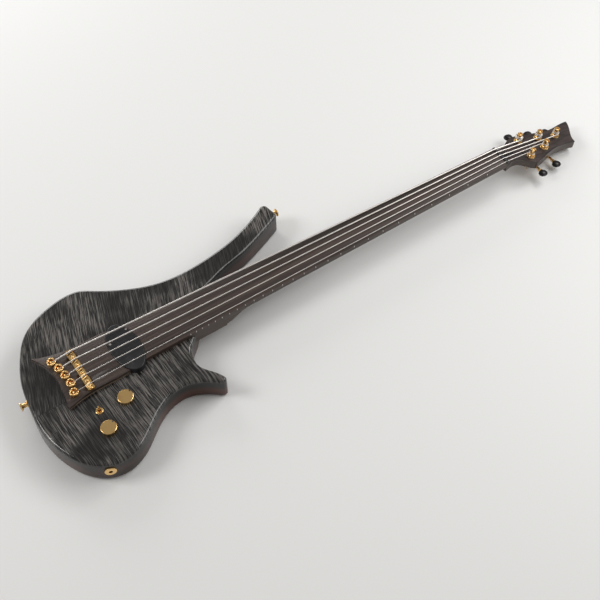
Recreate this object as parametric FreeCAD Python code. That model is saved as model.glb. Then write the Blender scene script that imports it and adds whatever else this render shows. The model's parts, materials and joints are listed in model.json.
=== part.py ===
"""Fretless five-string electric bass guitar, lying face up on its flat back.

Millimetres. +X runs along the neck to the headstock, +Y is the low string's side and +Z comes out of the
face. The origin lies on the back plane, under the middle of the saddle line.
"""
import FreeCAD, Part
import os
from math import cos, pi, radians, sin, sqrt, tan
from FreeCAD import Placement, Rotation, Vector

os.makedirs("parts", exist_ok=True)

# ---------------------------------------------------------------- driving sizes
SCALE_LENGTH = 863.6          # saddle line to nut
SADDLE_SPACING = 18.0         # between strings at the saddles
NUT_SPACING = 9.0             # between strings at the nut
GAUGES = {"b": 3.30, "e": 2.55, "a": 2.05, "d": 1.65, "g": 1.15}

BODY_THICKNESS = 45.0
TOP_THICKNESS = 6.0
EDGE_ROUND = 6.0              # round along the body's edges
TIP_ROUND = 9.0               # corners of the upper horn's end
POINT_ROUND = 7.0             # point of the lower horn

BOARD_THICKNESS = 7.0
RISER_THICKNESS = 3.0         # strip that lifts the board off the body
BOARD_RADIUS = 500.0          # crown across the board
BOARD_EDGE_NUT = 4.6          # board beyond the outer string, at the nut
BOARD_EDGE_SADDLE = 5.0       # the same, at the saddle line
BOARD_FLARE_X = 104.0         # where the straight edges turn outwards

HEEL_START = 94.0             # end of the neck inside its pocket, at the pickup
HEEL_END = 250.0              # where the heel begins to thin into the shaft
HEEL_DEPTH = 22.0
SHAFT_START = 292.0           # the shaft has its full taper from here
SHAFT_DEPTH_HEEL = 18.0       # neck wood under the board
SHAFT_DEPTH_NUT = 14.0
SHAFT_SIDE = 3.0              # straight side above the rounded back

NUT_LENGTH = 4.5              # along the string
NUT_ABOVE_BOARD = 2.2
STRING_OVER_BOARD_NUT = 0.7
STRING_OVER_BOARD_SADDLE = 5.4

HEAD_ANGLE = 9.0              # degrees, tilted back
HEAD_DROP = 6.0               # headstock face under the board's face, at the nut
HEAD_THICKNESS = 15.5         # with its veneer
VENEER_THICKNESS = 1.5
VENEER_START = 0.2            # behind the nut

ROD_RADIUS = 2.8
ROD_UNDER_TOP = 7.0           # rod axis under the neck's upper face
ROD_START = 215.0
ROD_NUT_RADIUS = 3.4
ROD_NUT_LENGTH = 10.0
ROD_POCKET_WIDTH = 9.0
ROD_POCKET_LENGTH = 27.0
ROD_COVER_MARGIN = 3.0
ROD_COVER_THICKNESS = 1.6

PICKUP_X = 79.0
PICKUP_Y = -1.0
PICKUP_HALF_LENGTH = 26.0     # along the strings
PICKUP_HALF_WIDTH = 50.0      # across them
PICKUP_ABOVE_BOARD = 1.0
PICKUP_WALL = 2.0
PICKUP_CAVITY_FLOOR = 22.0
PICKUP_BASE_THICKNESS = 2.0
COIL_WIDTH = 15.0
COIL_GAP = 1.0                # between the two coils
COIL_HEIGHT = 12.0
MAGNET_WIDTH = 5.0

RAIL_END_WALL = 2.7           # rail beyond the thickest string's saddle
RAIL_CORNER = 2.5
RAIL_WIDTH = 12.0
RAIL_HEIGHT = 5.0
RAIL_X = -3.0
RAIL_SEAT = 3.0               # rail bottom under the crown of the board
SADDLE_WIDTH = 7.6
SADDLE_LENGTH = 8.4
SADDLE_FLOOR = 1.4            # rail left under a saddle
LOCK_SCREW_RADIUS = 2.6
LOCK_SCREW_GAP = 0.25         # round the last lock screw, beside its saddle and inside the rail's end

ANCHOR_X = {"b": -36.0, "e": -31.0, "a": -28.0, "d": -27.0, "g": -30.0}
ANCHOR_RADIUS = 7.75
ANCHOR_WALL = 3.0
ANCHOR_ABOVE_BOARD = 5.0
ANCHOR_FLOOR = 3.0
BALL_RADIUS = 2.9
BALL_LENGTH = 4.4
BALL_UNDER_RIM = 3.6

POSTS = {"b": (62.5, 24.0), "e": (105.0, 14.5), "a": (141.5, 5.0), "d": (98.5, -12.5), "g": (56.5, -21.0)}
POST_RADIUS = 4.2             # where the string winds
POST_HEAD_RADIUS = 5.2
POST_HEIGHT = 17.5
POST_CAP = 3.2                # turned head of the post
POST_SLOT = 2.4               # width and depth of the slot for the string's end
POST_SHAFT_RADIUS = 4.0
WINDING_START = 5.5           # string axis over the headstock face
WINDING_TURNS = 2
STRING_LAP = 0.6              # straight string carried on into its first turn
BUSHING_RADIUS = 8.5
BUSHING_SLEEVE = 6.2
BUSHING_FLANGE = 1.8
GEAR_MODULE = 0.7
WHEEL_TEETH = 20
WHEEL_WIDTH = 4.0
WHEEL_BORE = 2.6
WORM_PITCH_RADIUS = 3.0
WORM_TURNS = 3
WORM_SHAFT_RADIUS = 1.9
PRESSURE_ANGLE = 20.0
GEAR_BACKLASH = 0.15          # each flank
GEAR_DEPTH = 5.6              # worm axis behind the headstock's back
TUNER_PLATE = 1.6
TUNER_EAR = 2.2
KEY_REACH = 32.5              # key centre beyond the post axis
KEY_LENGTH = 13.5
KEY_HALF_WIDTH = 9.8
KEY_HALF_THICKNESS = 4.5
KEY_BEAD_RADIUS = 3.2
KEY_SEAT_RADIUS = 3.4
KEY_TENON_RADIUS = 1.5
# along the key from the shaft to its end: share of its length, of its width and of its thickness
KEY_SHAPE = ((0, 0.45, 0.8), (0.25, 0.88, 0.95), (0.6, 1.0, 1.0), (0.88, 0.8, 0.8), (1, 0.5, 0.45))
EAR_HALF = 4.0

KNOB_RADIUS = 13.15
KNOB_HEIGHT = 6.0
KNOB_GAP = 0.5
KNOB_ROOF = 1.5               # metal over the end of the shaft
KNOBS = {"volume": (36.0, -83.0), "tone": (-12.0, -119.0)}
KNOB_MARK_ANGLE = 27.0
KNOB_MARK_RADIUS = 1.3
POT_RADIUS = 9.0
POT_HEIGHT = 9.0
POT_SHAFT_RADIUS = 3.0
POT_BUSHING_RADIUS = 4.3
PANEL_NUT_RADIUS = 6.2
PANEL_NUT_HEIGHT = 2.0
TOGGLE = (-10.0, -82.0)
TOGGLE_BUSHING_RADIUS = 4.0
TOGGLE_BORE_RADIUS = 3.1
TOGGLE_LEVER_RADIUS = 1.2
TOGGLE_LEVER_TIP = 1.7
TOGGLE_LEVER_HEIGHT = 14.0    # over the body's top
TOGGLE_BALL_RADIUS = 2.2
TOGGLE_PIVOT_RADIUS = 0.8     # cross pin that the lever swings on
TOGGLE_BOX = (13.0, 8.0, 11.0)

CAVITY_CORNERS = ((38.0, -86.0), (-22.0, -121.0), (-13.0, -82.0))
CAVITY_ROUND = 20.0
COVER_LEDGE = 6.0
COVER_THICKNESS = 2.5
COVER_CLEARANCE = 0.2         # round the cover, inside its recess

JACK_XY = (-41.0, -176.0)
JACK_OUTWARD = Vector(-0.32, -0.95, 0)
JACK_BARREL_RADIUS = 8.0
JACK_FLANGE_RADIUS = 9.6
JACK_FLANGE = 2.4
JACK_BORE_RADIUS = 3.25
JACK_BORE_LENGTH = 26.0
JACK_LENGTH = 36.0            # barrel inside the body
JACK_ROOM = 8.0               # bored on behind the barrel, for its lead
WIRE_RADIUS = 0.8
WIRE_HOLE = 1.6
WIRE_CLEARANCE = 0.2          # from what a wire lies on or under
PICKUP_WIRE_START = (-14.0, -30.0)    # from the pickup's middle
PICKUP_WIRE_END = (40.0, -73.0)       # inside the control cavity

STRAP_SEATS = ((-98.0, 5.0), (441.0, 132.0))    # on the tail, and on the end of the upper horn
BUTTON_LENGTH = 13.0
BUTTON_HEAD_RADIUS = 7.5
BUTTON_NECK_RADIUS = 4.0
BUTTON_FOOT_RADIUS = 6.5
BUTTON_SCREW_RADIUS = 2.0
BUTTON_SCREW_LENGTH = 22.0
BUTTON_SEAT_MARGIN = 1.0      # flat round a button's foot
FACING_REACH = 30.0           # how far the cutter of such a flat runs outwards

NECK_SCREWS = ((132.0, 22.0), (132.0, -22.0), (180.0, 19.0), (180.0, -19.0))
NECK_SCREW_RADIUS = 2.4
FERRULE_RADIUS = 7.0
FERRULE_DEPTH = 5.0
SMALL_SCREW_RADIUS = 1.1
SMALL_SCREW_HEAD = 2.0

FIT = 0.05                    # radial clearance of a fixed fit
RUNNING = 0.08                # radial clearance of a turning fit
LOOSE = 0.3                   # clearance between pieces that only lie close

# ---------------------------------------------------------------- heights and lines that follow
NAMES = tuple(GAUGES)
RISER_TOP = BODY_THICKNESS + RISER_THICKNESS
BOARD_TOP = RISER_TOP + BOARD_THICKNESS
MID_HEIGHT = BODY_THICKNESS * 0.6
CAVITY_TOP = BODY_THICKNESS - TOP_THICKNESS - 1.0
OUTER_STRING_SADDLE = 2 * SADDLE_SPACING
OUTER_STRING_NUT = 2 * NUT_SPACING
NUT_END = SCALE_LENGTH + NUT_LENGTH
HEAD = Placement(Vector(NUT_END, 0, BOARD_TOP - HEAD_DROP), Rotation(Vector(0, 1, 0), HEAD_ANGLE))
UP = Vector(0, 0, 1)
GEAR_LEVEL = -(HEAD_THICKNESS + GEAR_DEPTH)
WHEEL_PITCH_RADIUS = GEAR_MODULE * WHEEL_TEETH / 2
GEAR_CENTRES = WHEEL_PITCH_RADIUS + WORM_PITCH_RADIUS
WORM_LEAD = pi * GEAR_MODULE
RAIL_HIGH_END = OUTER_STRING_SADDLE + SADDLE_WIDTH / 2 + RAIL_END_WALL
RAIL_LOW_END = -(OUTER_STRING_SADDLE + SADDLE_WIDTH / 2 + 2 * LOCK_SCREW_RADIUS + 2 * LOCK_SCREW_GAP)
ROD_HEIGHT = RISER_TOP - ROD_UNDER_TOP

BODY_OUTER = (
    (438, 154), (396, 130.5), (342, 109), (295, 98.5), (252, 93.3), (213, 93.3), (172, 101), (129, 119),
    (90, 142), (66, 156), (48, 158.5), (13, 153), (-24, 139), (-52, 118), (-75, 82), (-92, 40), (-101, -15),
    (-103, -65), (-90, -120), (-60, -164), (-20, -181), (20, -170), (60, -139), (95, -118), (132, -113.5),
    (162, -127), (193, -152),
)
BODY_INNER = (
    (193, -152), (190.5, -133), (179, -113), (166, -93), (164.5, -78), (171, -57), (190, -37), (216, 2),
    (241, 34), (266, 47), (300, 60), (345, 72), (390, 89), (444.5, 114),
)
# the tail's sides and corners: x, and how far beyond the board's edge at the saddle line
TAIL_BASS_SIDE = ((62, 5), (20, 5.5), (-10, 7), (-38, 13.5), (-61, 23))
TAIL_TREBLE_SIDE = ((62, 3.5), (30, 5), (-8, 6), (-48, 14))
TAIL_END = ((-52, 48), (-45, 28), (-42, 0), (-44, -25))
HEAD_BASS = (
    (12, 20.5), (28, 25), (44, 34), (58, 37), (78, 33.5), (112, 26.5), (140, 22.5), (168, 26), (191, 27.5),
)
HEAD_END = ((191, 27.5), (183, 9), (173, -6), (166, -26))
HEAD_TREBLE = ((166, -26), (140, -23), (118, -24), (90, -31), (57, -41))
HEAD_WING = ((57, -41), (46, -33.5), (33, -20.5), (12, -17.5))


def board_half(x):
    """Half width of the straight, tapered stretch of the board."""
    saddle = OUTER_STRING_SADDLE + BOARD_EDGE_SADDLE
    nut = OUTER_STRING_NUT + BOARD_EDGE_NUT
    return saddle + (nut - saddle) * x / SCALE_LENGTH


def crown(y, radius=BOARD_RADIUS):
    """How far the crowned face lies under its middle line at y."""
    return radius - sqrt(radius * radius - y * y)


def saddle_y(index):
    return (2 - index) * SADDLE_SPACING


def nut_y(index):
    return (2 - index) * NUT_SPACING


def string_at_saddle(index):
    """Point of a string's axis over its saddle."""
    y = saddle_y(index)
    lift = STRING_OVER_BOARD_SADDLE + GAUGES[NAMES[index]] / 2
    return Vector(0, y, BOARD_TOP - crown(y) + lift)


def string_at_nut(index):
    """Point of a string's axis at the front edge of the nut."""
    y = nut_y(index)
    lift = STRING_OVER_BOARD_NUT + GAUGES[NAMES[index]] / 2
    return Vector(SCALE_LENGTH, y, BOARD_TOP - crown(y) + lift)


# ---------------------------------------------------------------- helpers
def save(node, solids):
    """Write one node: a solid, or a group of separate solids."""
    solids = solids if isinstance(solids, list) else [solids]
    shape = solids[0] if len(solids) == 1 else Part.makeCompound(solids)
    shape.exportStep(f"parts/{node}.step")


def on_head(shape):
    """Move a shape from the headstock's own frame (along the face, across it, out of it)."""
    shape.Placement = HEAD.multiply(shape.Placement)
    return shape


def turned(profile, base=Vector(), axis=UP):
    """Lathe work: a closed profile of (radius, height) turned about the axis at base."""
    points = [Vector(radius, 0, height) for radius, height in profile]
    face = Part.Face(Part.makePolygon(points + points[:1]))
    solid = face.revolve(Vector(), UP, 360)
    solid.Placement = Placement(base, Rotation(UP, axis))
    return solid


def rod(radius, start, end):
    return Part.makeCylinder(radius, (end - start).Length, start, end - start)


def pin(radius, x, y, low, high):
    """Upright cylinder between two heights."""
    return Part.makeCylinder(radius, high - low, Vector(x, y, low))


def block(x0, x1, y0, y1, z0, z1):
    return Part.makeBox(x1 - x0, y1 - y0, z1 - z0, Vector(x0, y0, z0))


def spline(points, start=None, end=None):
    """Smooth edge through flat points, with the end directions where they matter."""
    vectors = [Vector(x, y, 0) for x, y in points]
    curve = Part.BSplineCurve()
    if start is None:
        curve.interpolate(Points=vectors)
    else:
        curve.interpolate(Points=vectors, InitialTangent=start, FinalTangent=end)
    return curve.toShape()


def line(a, b):
    return Part.makeLine(Vector(a[0], a[1], 0), Vector(b[0], b[1], 0))


def prism(edges, low, high):
    """Flat outline raised from one height to another."""
    face = Part.Face(Part.Wire(Part.__sortEdges__(edges)))
    solid = face.extrude(Vector(0, 0, high - low))
    solid.translate(Vector(0, 0, low))
    return solid


def ellipse_prism(x, y, half_x, half_y, low, high):
    """Upright elliptical cylinder, its longer half along Y."""
    curve = Part.Ellipse(Vector(x, y + half_y, low), Vector(x - half_x, y, low), Vector(x, y, low))
    return Part.Face(Part.Wire(curve.toShape())).extrude(Vector(0, 0, high - low))


def stadium(x, y, length_y, width_x, low, high):
    """Upright slot shape with round ends, its length along Y."""
    radius = width_x / 2
    reach = length_y / 2 - radius
    middle = block(x - radius, x + radius, y - reach, y + reach, low, high)
    ends = [pin(radius, x, y + side * reach, low, high) for side in (-1, 1)]
    return middle.fuse(ends).removeSplitter()


def between(shape, axis, low, high):
    """The part of a shape that lies between two planes square to X, Y or Z."""
    box = shape.BoundBox
    spans = {"x": [box.XMin - 1, box.XMax + 1], "y": [box.YMin - 1, box.YMax + 1],
             "z": [box.ZMin - 1, box.ZMax + 1]}
    spans[axis] = [low, high]
    return shape.common(block(*spans["x"], *spans["y"], *spans["z"]))


# ---------------------------------------------------------------- control cavity and its lines
def cavity_prism(offset, low, high):
    """The control cavity's rounded triangle, grown by offset."""
    corners = [Vector(x, y, 0) for x, y in CAVITY_CORNERS]
    wire = Part.makePolygon(corners + corners[:1]).makeOffset2D(offset)
    solid = Part.Face(wire).extrude(Vector(0, 0, high - low))
    solid.translate(Vector(0, 0, low))
    return solid


def strap_seats():
    """Where the two strap buttons stand and which way they point."""
    tail, horn = [Vector(x, y, MID_HEIGHT) for x, y in STRAP_SEATS]
    return (tail, Vector(-1, 0, 0)), (horn, Vector(1, 0, 0))


def jack_seat():
    outward = Vector(JACK_OUTWARD)
    outward.normalize()
    return Vector(JACK_XY[0], JACK_XY[1], MID_HEIGHT), outward


def pickup_shape(grow, low, high):
    return ellipse_prism(PICKUP_X, PICKUP_Y, PICKUP_HALF_LENGTH + grow, PICKUP_HALF_WIDTH + grow, low, high)


def wire_run():
    """Line of the pickup's lead, from under the pickup's base plate to the control cavity."""
    x, y = PICKUP_WIRE_START
    start = Vector(PICKUP_X + x, PICKUP_Y + y, PICKUP_CAVITY_FLOOR + WIRE_RADIUS + WIRE_CLEARANCE)
    return start, Vector(*PICKUP_WIRE_END, start.z)


# ---------------------------------------------------------------- body
def body_blank():
    edges = [spline(BODY_OUTER), spline(BODY_INNER), line(BODY_INNER[-1], BODY_OUTER[0])]
    blank = prism(edges, 0, BODY_THICKNESS)

    def corner(point):
        near = [e for e in blank.Edges if e.BoundBox.ZLength > 1
                and abs(e.BoundBox.Center.x - point[0]) < 0.5 and abs(e.BoundBox.Center.y - point[1]) < 0.5]
        return near

    blank = blank.makeFillet(POINT_ROUND, corner(BODY_OUTER[-1]))
    blank = blank.makeFillet(TIP_ROUND, corner(BODY_OUTER[0]))
    blank = blank.makeFillet(TIP_ROUND, corner(BODY_INNER[-1]))
    rims = [e for e in blank.Edges if e.BoundBox.ZLength < 0.01]
    return blank.makeFillet(EDGE_ROUND, rims)


def neck_plan(x0, x1, grow, low, high):
    """Tapered block as wide as the board, from x0 to x1."""
    a, b = board_half(x0) + grow, board_half(x1) + grow
    corners = ((x0, -a), (x1, -b), (x1, b), (x0, a))
    return prism([line(corners[i], corners[(i + 1) % 4]) for i in range(4)], low, high)


def body_cutters():
    heel_floor = RISER_TOP - HEEL_DEPTH
    cutters = [
        neck_plan(HEEL_START - FIT, HEEL_END, FIT, heel_floor, RISER_TOP),
        pickup_shape(LOOSE, PICKUP_CAVITY_FLOOR, BOARD_TOP),
        cavity_prism(CAVITY_ROUND, COVER_THICKNESS, CAVITY_TOP),
        cavity_prism(CAVITY_ROUND + COVER_LEDGE, 0, COVER_THICKNESS),
    ]
    for x, y in KNOBS.values():
        cutters.append(pin(POT_BUSHING_RADIUS + FIT, x, y, CAVITY_TOP, BODY_THICKNESS))
    cutters.append(pin(TOGGLE_BUSHING_RADIUS + FIT, *TOGGLE, CAVITY_TOP, BODY_THICKNESS))
    for x, y in NECK_SCREWS:
        cutters.append(pin(NECK_SCREW_RADIUS + FIT, x, y, 0, heel_floor))
        cutters.append(pin(FERRULE_RADIUS + FIT, x, y, 0, FERRULE_DEPTH))
    for seat, outward in strap_seats():
        cutters.append(rod(BUTTON_FOOT_RADIUS + BUTTON_SEAT_MARGIN, seat, seat + outward * FACING_REACH))
        cutters.append(rod(BUTTON_SCREW_RADIUS + FIT, seat - outward * BUTTON_SCREW_LENGTH, seat))
    seat, outward = jack_seat()
    cutters.append(rod(JACK_FLANGE_RADIUS + LOOSE, seat, seat + outward * FACING_REACH))
    cutters.append(rod(JACK_BARREL_RADIUS + FIT, seat - outward * (JACK_LENGTH + JACK_ROOM), seat))
    start, end = wire_run()
    cutters.append(rod(WIRE_HOLE, start, end))
    for x, y in cover_screw_places():
        cutters.append(pin(SMALL_SCREW_RADIUS + FIT, x, y, COVER_THICKNESS, COVER_THICKNESS + 10))
    return cutters


def cover_screw_places():
    """On the ledge, outside each corner of the cavity."""
    middle = Vector(sum(x for x, _ in CAVITY_CORNERS) / 3, sum(y for _, y in CAVITY_CORNERS) / 3, 0)
    places = []
    for x, y in CAVITY_CORNERS:
        away = Vector(x, y, 0) - middle
        away.normalize()
        spot = Vector(x, y, 0) + away * (CAVITY_ROUND + COVER_LEDGE / 2)
        places.append((spot.x, spot.y))
    return places


def make_body():
    body = body_blank().cut(body_cutters())
    split = BODY_THICKNESS - TOP_THICKNESS
    save("body_core", between(body, "z", 0, split))
    save("body_top", between(body, "z", split, BODY_THICKNESS))


# ---------------------------------------------------------------- board, riser, nut
def board_plan(low, high):
    half = board_half(BOARD_FLARE_X)
    nut_half = board_half(SCALE_LENGTH)
    along = Vector(-1, (half - nut_half) / (SCALE_LENGTH - BOARD_FLARE_X), 0) * 40
    mirrored = Vector(along.x, -along.y, 0)
    at_saddle = board_half(0)
    bass_points = [(x, at_saddle + beyond) for x, beyond in TAIL_BASS_SIDE]
    treble_points = [(x, -at_saddle - beyond) for x, beyond in TAIL_TREBLE_SIDE]
    bass = spline([(BOARD_FLARE_X, half), *bass_points], along, Vector(-40, 20, 0))
    treble = spline([(BOARD_FLARE_X, -half), *treble_points], mirrored, Vector(-35, -10, 0))
    end = spline((bass_points[-1], *TAIL_END, treble_points[-1]))
    edges = [
        line((SCALE_LENGTH, nut_half), (BOARD_FLARE_X, half)), bass, end, treble,
        line((BOARD_FLARE_X, -half), (SCALE_LENGTH, -nut_half)),
        line((SCALE_LENGTH, -nut_half), (SCALE_LENGTH, nut_half)),
    ]
    return prism(edges, low, high)


def crown_cylinder(radius, top, x0, x1):
    return Part.makeCylinder(radius, x1 - x0, Vector(x0, 0, top - radius), Vector(1, 0, 0))


def anchor_bores(grow, low, high):
    return [pin(ANCHOR_RADIUS + grow, ANCHOR_X[name], saddle_y(i), low, high) for i, name in enumerate(NAMES)]


def rail_bottom():
    return BOARD_TOP - RAIL_SEAT


def rail_blank(grow, high):
    half = RAIL_WIDTH / 2 + grow
    blank = block(RAIL_X - half, RAIL_X + half, RAIL_LOW_END - grow, RAIL_HIGH_END + grow,
                  rail_bottom(), high)
    return blank.makeFillet(RAIL_CORNER + grow, [e for e in blank.Edges if e.BoundBox.ZLength > 1])


def make_board():
    blank = board_plan(RISER_TOP, BOARD_TOP + 1)
    crowned = crown_cylinder(BOARD_RADIUS, BOARD_TOP, blank.BoundBox.XMin - 1, blank.BoundBox.XMax + 1)
    board = blank.common(crowned)
    slot = rail_blank(FIT, BOARD_TOP + 1)
    board = board.cut([pickup_shape(LOOSE, 0, BOARD_TOP + 1), slot] + anchor_bores(FIT, 0, BOARD_TOP + 1))
    front, rear = sorted(board.Solids, key=lambda piece: -piece.BoundBox.XMax)
    save("fingerboard", front)
    save("tail_plate", rear)
    riser = board_plan(BODY_THICKNESS, RISER_TOP)
    riser = between(riser, "x", riser.BoundBox.XMin - 1, min(PICKUP_X, HEEL_START - FIT))
    riser = riser.cut([pickup_shape(LOOSE, 0, RISER_TOP)] + anchor_bores(FIT, 0, RISER_TOP))
    save("board_riser", riser)


def string_slot(index, start, end):
    """Room for a string in the nut: a round-bottomed slot that is open at the top."""
    radius = GAUGES[NAMES[index]] / 2 + FIT
    tunnel = rod(radius, start, end)
    share = (NUT_END - start.x) / (end.x - start.x)
    low = start.z + (end.z - start.z) * share
    opening = block(SCALE_LENGTH - 1, NUT_END + 1, start.y - radius, start.y + radius, low, BOARD_TOP + 9)
    return [tunnel, opening]


def make_nut():
    half = board_half(SCALE_LENGTH)
    blank = block(SCALE_LENGTH, NUT_END, -half, half, RISER_TOP, BOARD_TOP + NUT_ABOVE_BOARD + 1)
    top = BOARD_TOP + NUT_ABOVE_BOARD
    nut = blank.common(crown_cylinder(BOARD_RADIUS + NUT_ABOVE_BOARD, top, SCALE_LENGTH - 1, NUT_END + 1))
    tools = []
    for index in range(len(NAMES)):
        points = string_points(index)
        tools += string_slot(index, points[2] - Vector(1, 0, 0), points[3])
    save("nut", nut.cut(tools))


# ---------------------------------------------------------------- neck and headstock
def neck_section(x, half, side, depth):
    """D-shaped section of the neck: flat top, short straight sides, rounded back."""
    top = RISER_TOP
    low = top - side
    corners = [Vector(x, -half, top), Vector(x, -half, low), Vector(x, half, low), Vector(x, half, top)]
    back = Part.Arc(corners[1], Vector(x, 0, top - depth), corners[2]).toShape()
    sides = [Part.makeLine(corners[0], corners[1]), back, Part.makeLine(corners[2], corners[3])]
    return Part.Wire(sides + [Part.makeLine(corners[3], corners[0])])


def shaft_depth(x):
    share = (x - SHAFT_START) / (SCALE_LENGTH - SHAFT_START)
    return SHAFT_DEPTH_HEEL + (SHAFT_DEPTH_NUT - SHAFT_DEPTH_HEEL) * share


def neck_shaft():
    heel_side = HEEL_DEPTH - 3.0
    sections = []
    steps = 4
    for step in range(steps + 1):
        x = HEEL_END + (SHAFT_START - HEEL_END) * step / steps
        ease = (1 - cos(pi * step / steps)) / 2
        side = heel_side + (SHAFT_SIDE - heel_side) * ease
        depth = HEEL_DEPTH + (shaft_depth(SHAFT_START) - HEEL_DEPTH) * ease
        sections.append(neck_section(x, board_half(x), side, depth))
    end = NUT_END + 8
    sections.append(neck_section(SCALE_LENGTH, board_half(SCALE_LENGTH), SHAFT_SIDE, SHAFT_DEPTH_NUT))
    sections.append(neck_section(end, board_half(SCALE_LENGTH) - 3.5, SHAFT_SIDE, SHAFT_DEPTH_NUT + 0.6))
    return Part.makeLoft(sections, True, True)


def head_outline(low, high):
    neck_half = board_half(SCALE_LENGTH)
    throat_bass, throat_treble = (-4, neck_half - 0.2), (-4, -neck_half + 0.2)
    edges = [
        spline((throat_bass, (2, neck_half - 1.2)) + HEAD_BASS), spline(HEAD_END), spline(HEAD_TREBLE),
        spline(HEAD_WING + ((2, -neck_half + 1.8), throat_treble)), line(throat_treble, throat_bass),
    ]
    return prism(edges, low, high)


def head_room(start, low, high):
    """Block over the whole headstock from start on, between two heights."""
    box = head_outline(low, high).BoundBox
    return block(start, box.XMax + 1, box.YMin - 1, box.YMax + 1, low, high)


def head_bores():
    return [pin(BUSHING_SLEEVE + FIT, s, y, -HEAD_THICKNESS - 1, 1) for s, y in POSTS.values()]


def rod_pocket():
    """Opening behind the nut, down to the truss rod's nut."""
    return block(-1, ROD_POCKET_LENGTH, -ROD_POCKET_WIDTH / 2, ROD_POCKET_WIDTH / 2, -ROD_UNDER_TOP - 4.5, 1)


def rod_cover_plan(low, high):
    half = ROD_POCKET_WIDTH / 2 + ROD_COVER_MARGIN
    length = ROD_POCKET_LENGTH + ROD_COVER_MARGIN
    edges = [
        line((1.0, half), (1.0, -half)), spline(((1.0, -half), (length * 0.6, -half * 0.8), (length, 0))),
        spline(((length, 0), (length * 0.6, half * 0.8), (1.0, half))),
    ]
    return prism(edges, low, high)


def make_neck():
    heel = neck_plan(HEEL_START, HEEL_END, 0, RISER_TOP - HEEL_DEPTH, RISER_TOP)
    slab = on_head(head_outline(-HEAD_THICKNESS, -VENEER_THICKNESS))
    above_face = on_head(head_room(0, -VENEER_THICKNESS, BOARD_TOP))
    half = board_half(HEEL_START) + 1
    under_nut = block(HEEL_START - 1, NUT_END, -half, half, RISER_TOP, BOARD_TOP)
    neck = heel.fuse([neck_shaft(), slab]).removeSplitter().cut([above_face, under_nut])
    channel = block(ROD_START - FIT, NUT_END + 1, -ROD_RADIUS - FIT, ROD_RADIUS + FIT,
                    ROD_HEIGHT - ROD_RADIUS - FIT, RISER_TOP)
    tools = [channel, on_head(rod_pocket())]
    tools += [on_head(bore) for bore in head_bores()]
    heel_floor = RISER_TOP - HEEL_DEPTH
    for x, y in NECK_SCREWS:
        tools.append(pin(NECK_SCREW_RADIUS + FIT, x, y, heel_floor - 1, heel_floor + HEEL_DEPTH - 4))
    tools.append(pickup_shape(LOOSE, 0, BOARD_TOP))
    save("neck", neck.cut(tools))

    veneer = head_outline(-VENEER_THICKNESS, 0).common(head_room(VENEER_START, -VENEER_THICKNESS, 1))
    veneer = veneer.cut([rod_pocket()] + head_bores())
    save("headstock_veneer", on_head(veneer))
    cover = rod_cover_plan(0, ROD_COVER_THICKNESS)
    save("truss_cover", on_head(cover))


def make_truss_rod():
    start, end = Vector(ROD_START, 0, ROD_HEIGHT), Vector(NUT_END + 1.5, 0, ROD_HEIGHT)
    save("truss_rod", rod(ROD_RADIUS, start, end))
    nut_start = end + Vector(0.2, 0, 0)
    nut = rod(ROD_NUT_RADIUS, nut_start, nut_start + Vector(ROD_NUT_LENGTH, 0, 0))
    corners = [Vector(nut_start.x + 4, 2.3 * cos(radians(60 * k)), ROD_HEIGHT + 2.3 * sin(radians(60 * k)))
               for k in range(6)]
    socket = Part.Face(Part.makePolygon(corners + corners[:1])).extrude(Vector(ROD_NUT_LENGTH, 0, 0))
    save("truss_nut", nut.cut(socket))


def make_neck_screws():
    ferrules, screws = [], []
    for x, y in NECK_SCREWS:
        bore = NECK_SCREW_RADIUS + FIT
        well = NECK_SCREW_RADIUS * 2.1
        ferrules.append(turned(((bore, 1.2), (bore, FERRULE_DEPTH), (FERRULE_RADIUS, FERRULE_DEPTH),
                                (FERRULE_RADIUS, 0.3), (well, 0.3), (well, 1.2)), Vector(x, y, 0)))
        tip = RISER_TOP - 4.5
        head = NECK_SCREW_RADIUS * 1.9
        screws.append(turned(((0, 0.3), (head, 0.3), (head, 1.15), (NECK_SCREW_RADIUS, 1.15),
                              (NECK_SCREW_RADIUS, tip - 4), (0, tip)), Vector(x, y, 0)))
    save("neck_ferrules", ferrules)
    save("neck_screws", screws)


# ---------------------------------------------------------------- pickup
def pickup_base():
    return PICKUP_CAVITY_FLOOR + 2 * (WIRE_RADIUS + WIRE_CLEARANCE)


def coil_length():
    """The longest coil whose outer corner still lies inside the cover's oval."""
    inside_x = PICKUP_HALF_LENGTH - PICKUP_WALL - LOOSE
    inside_y = PICKUP_HALF_WIDTH - PICKUP_WALL - LOOSE
    return 2 * inside_y * sqrt(1 - ((COIL_WIDTH + COIL_GAP / 2) / inside_x) ** 2)


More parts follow.
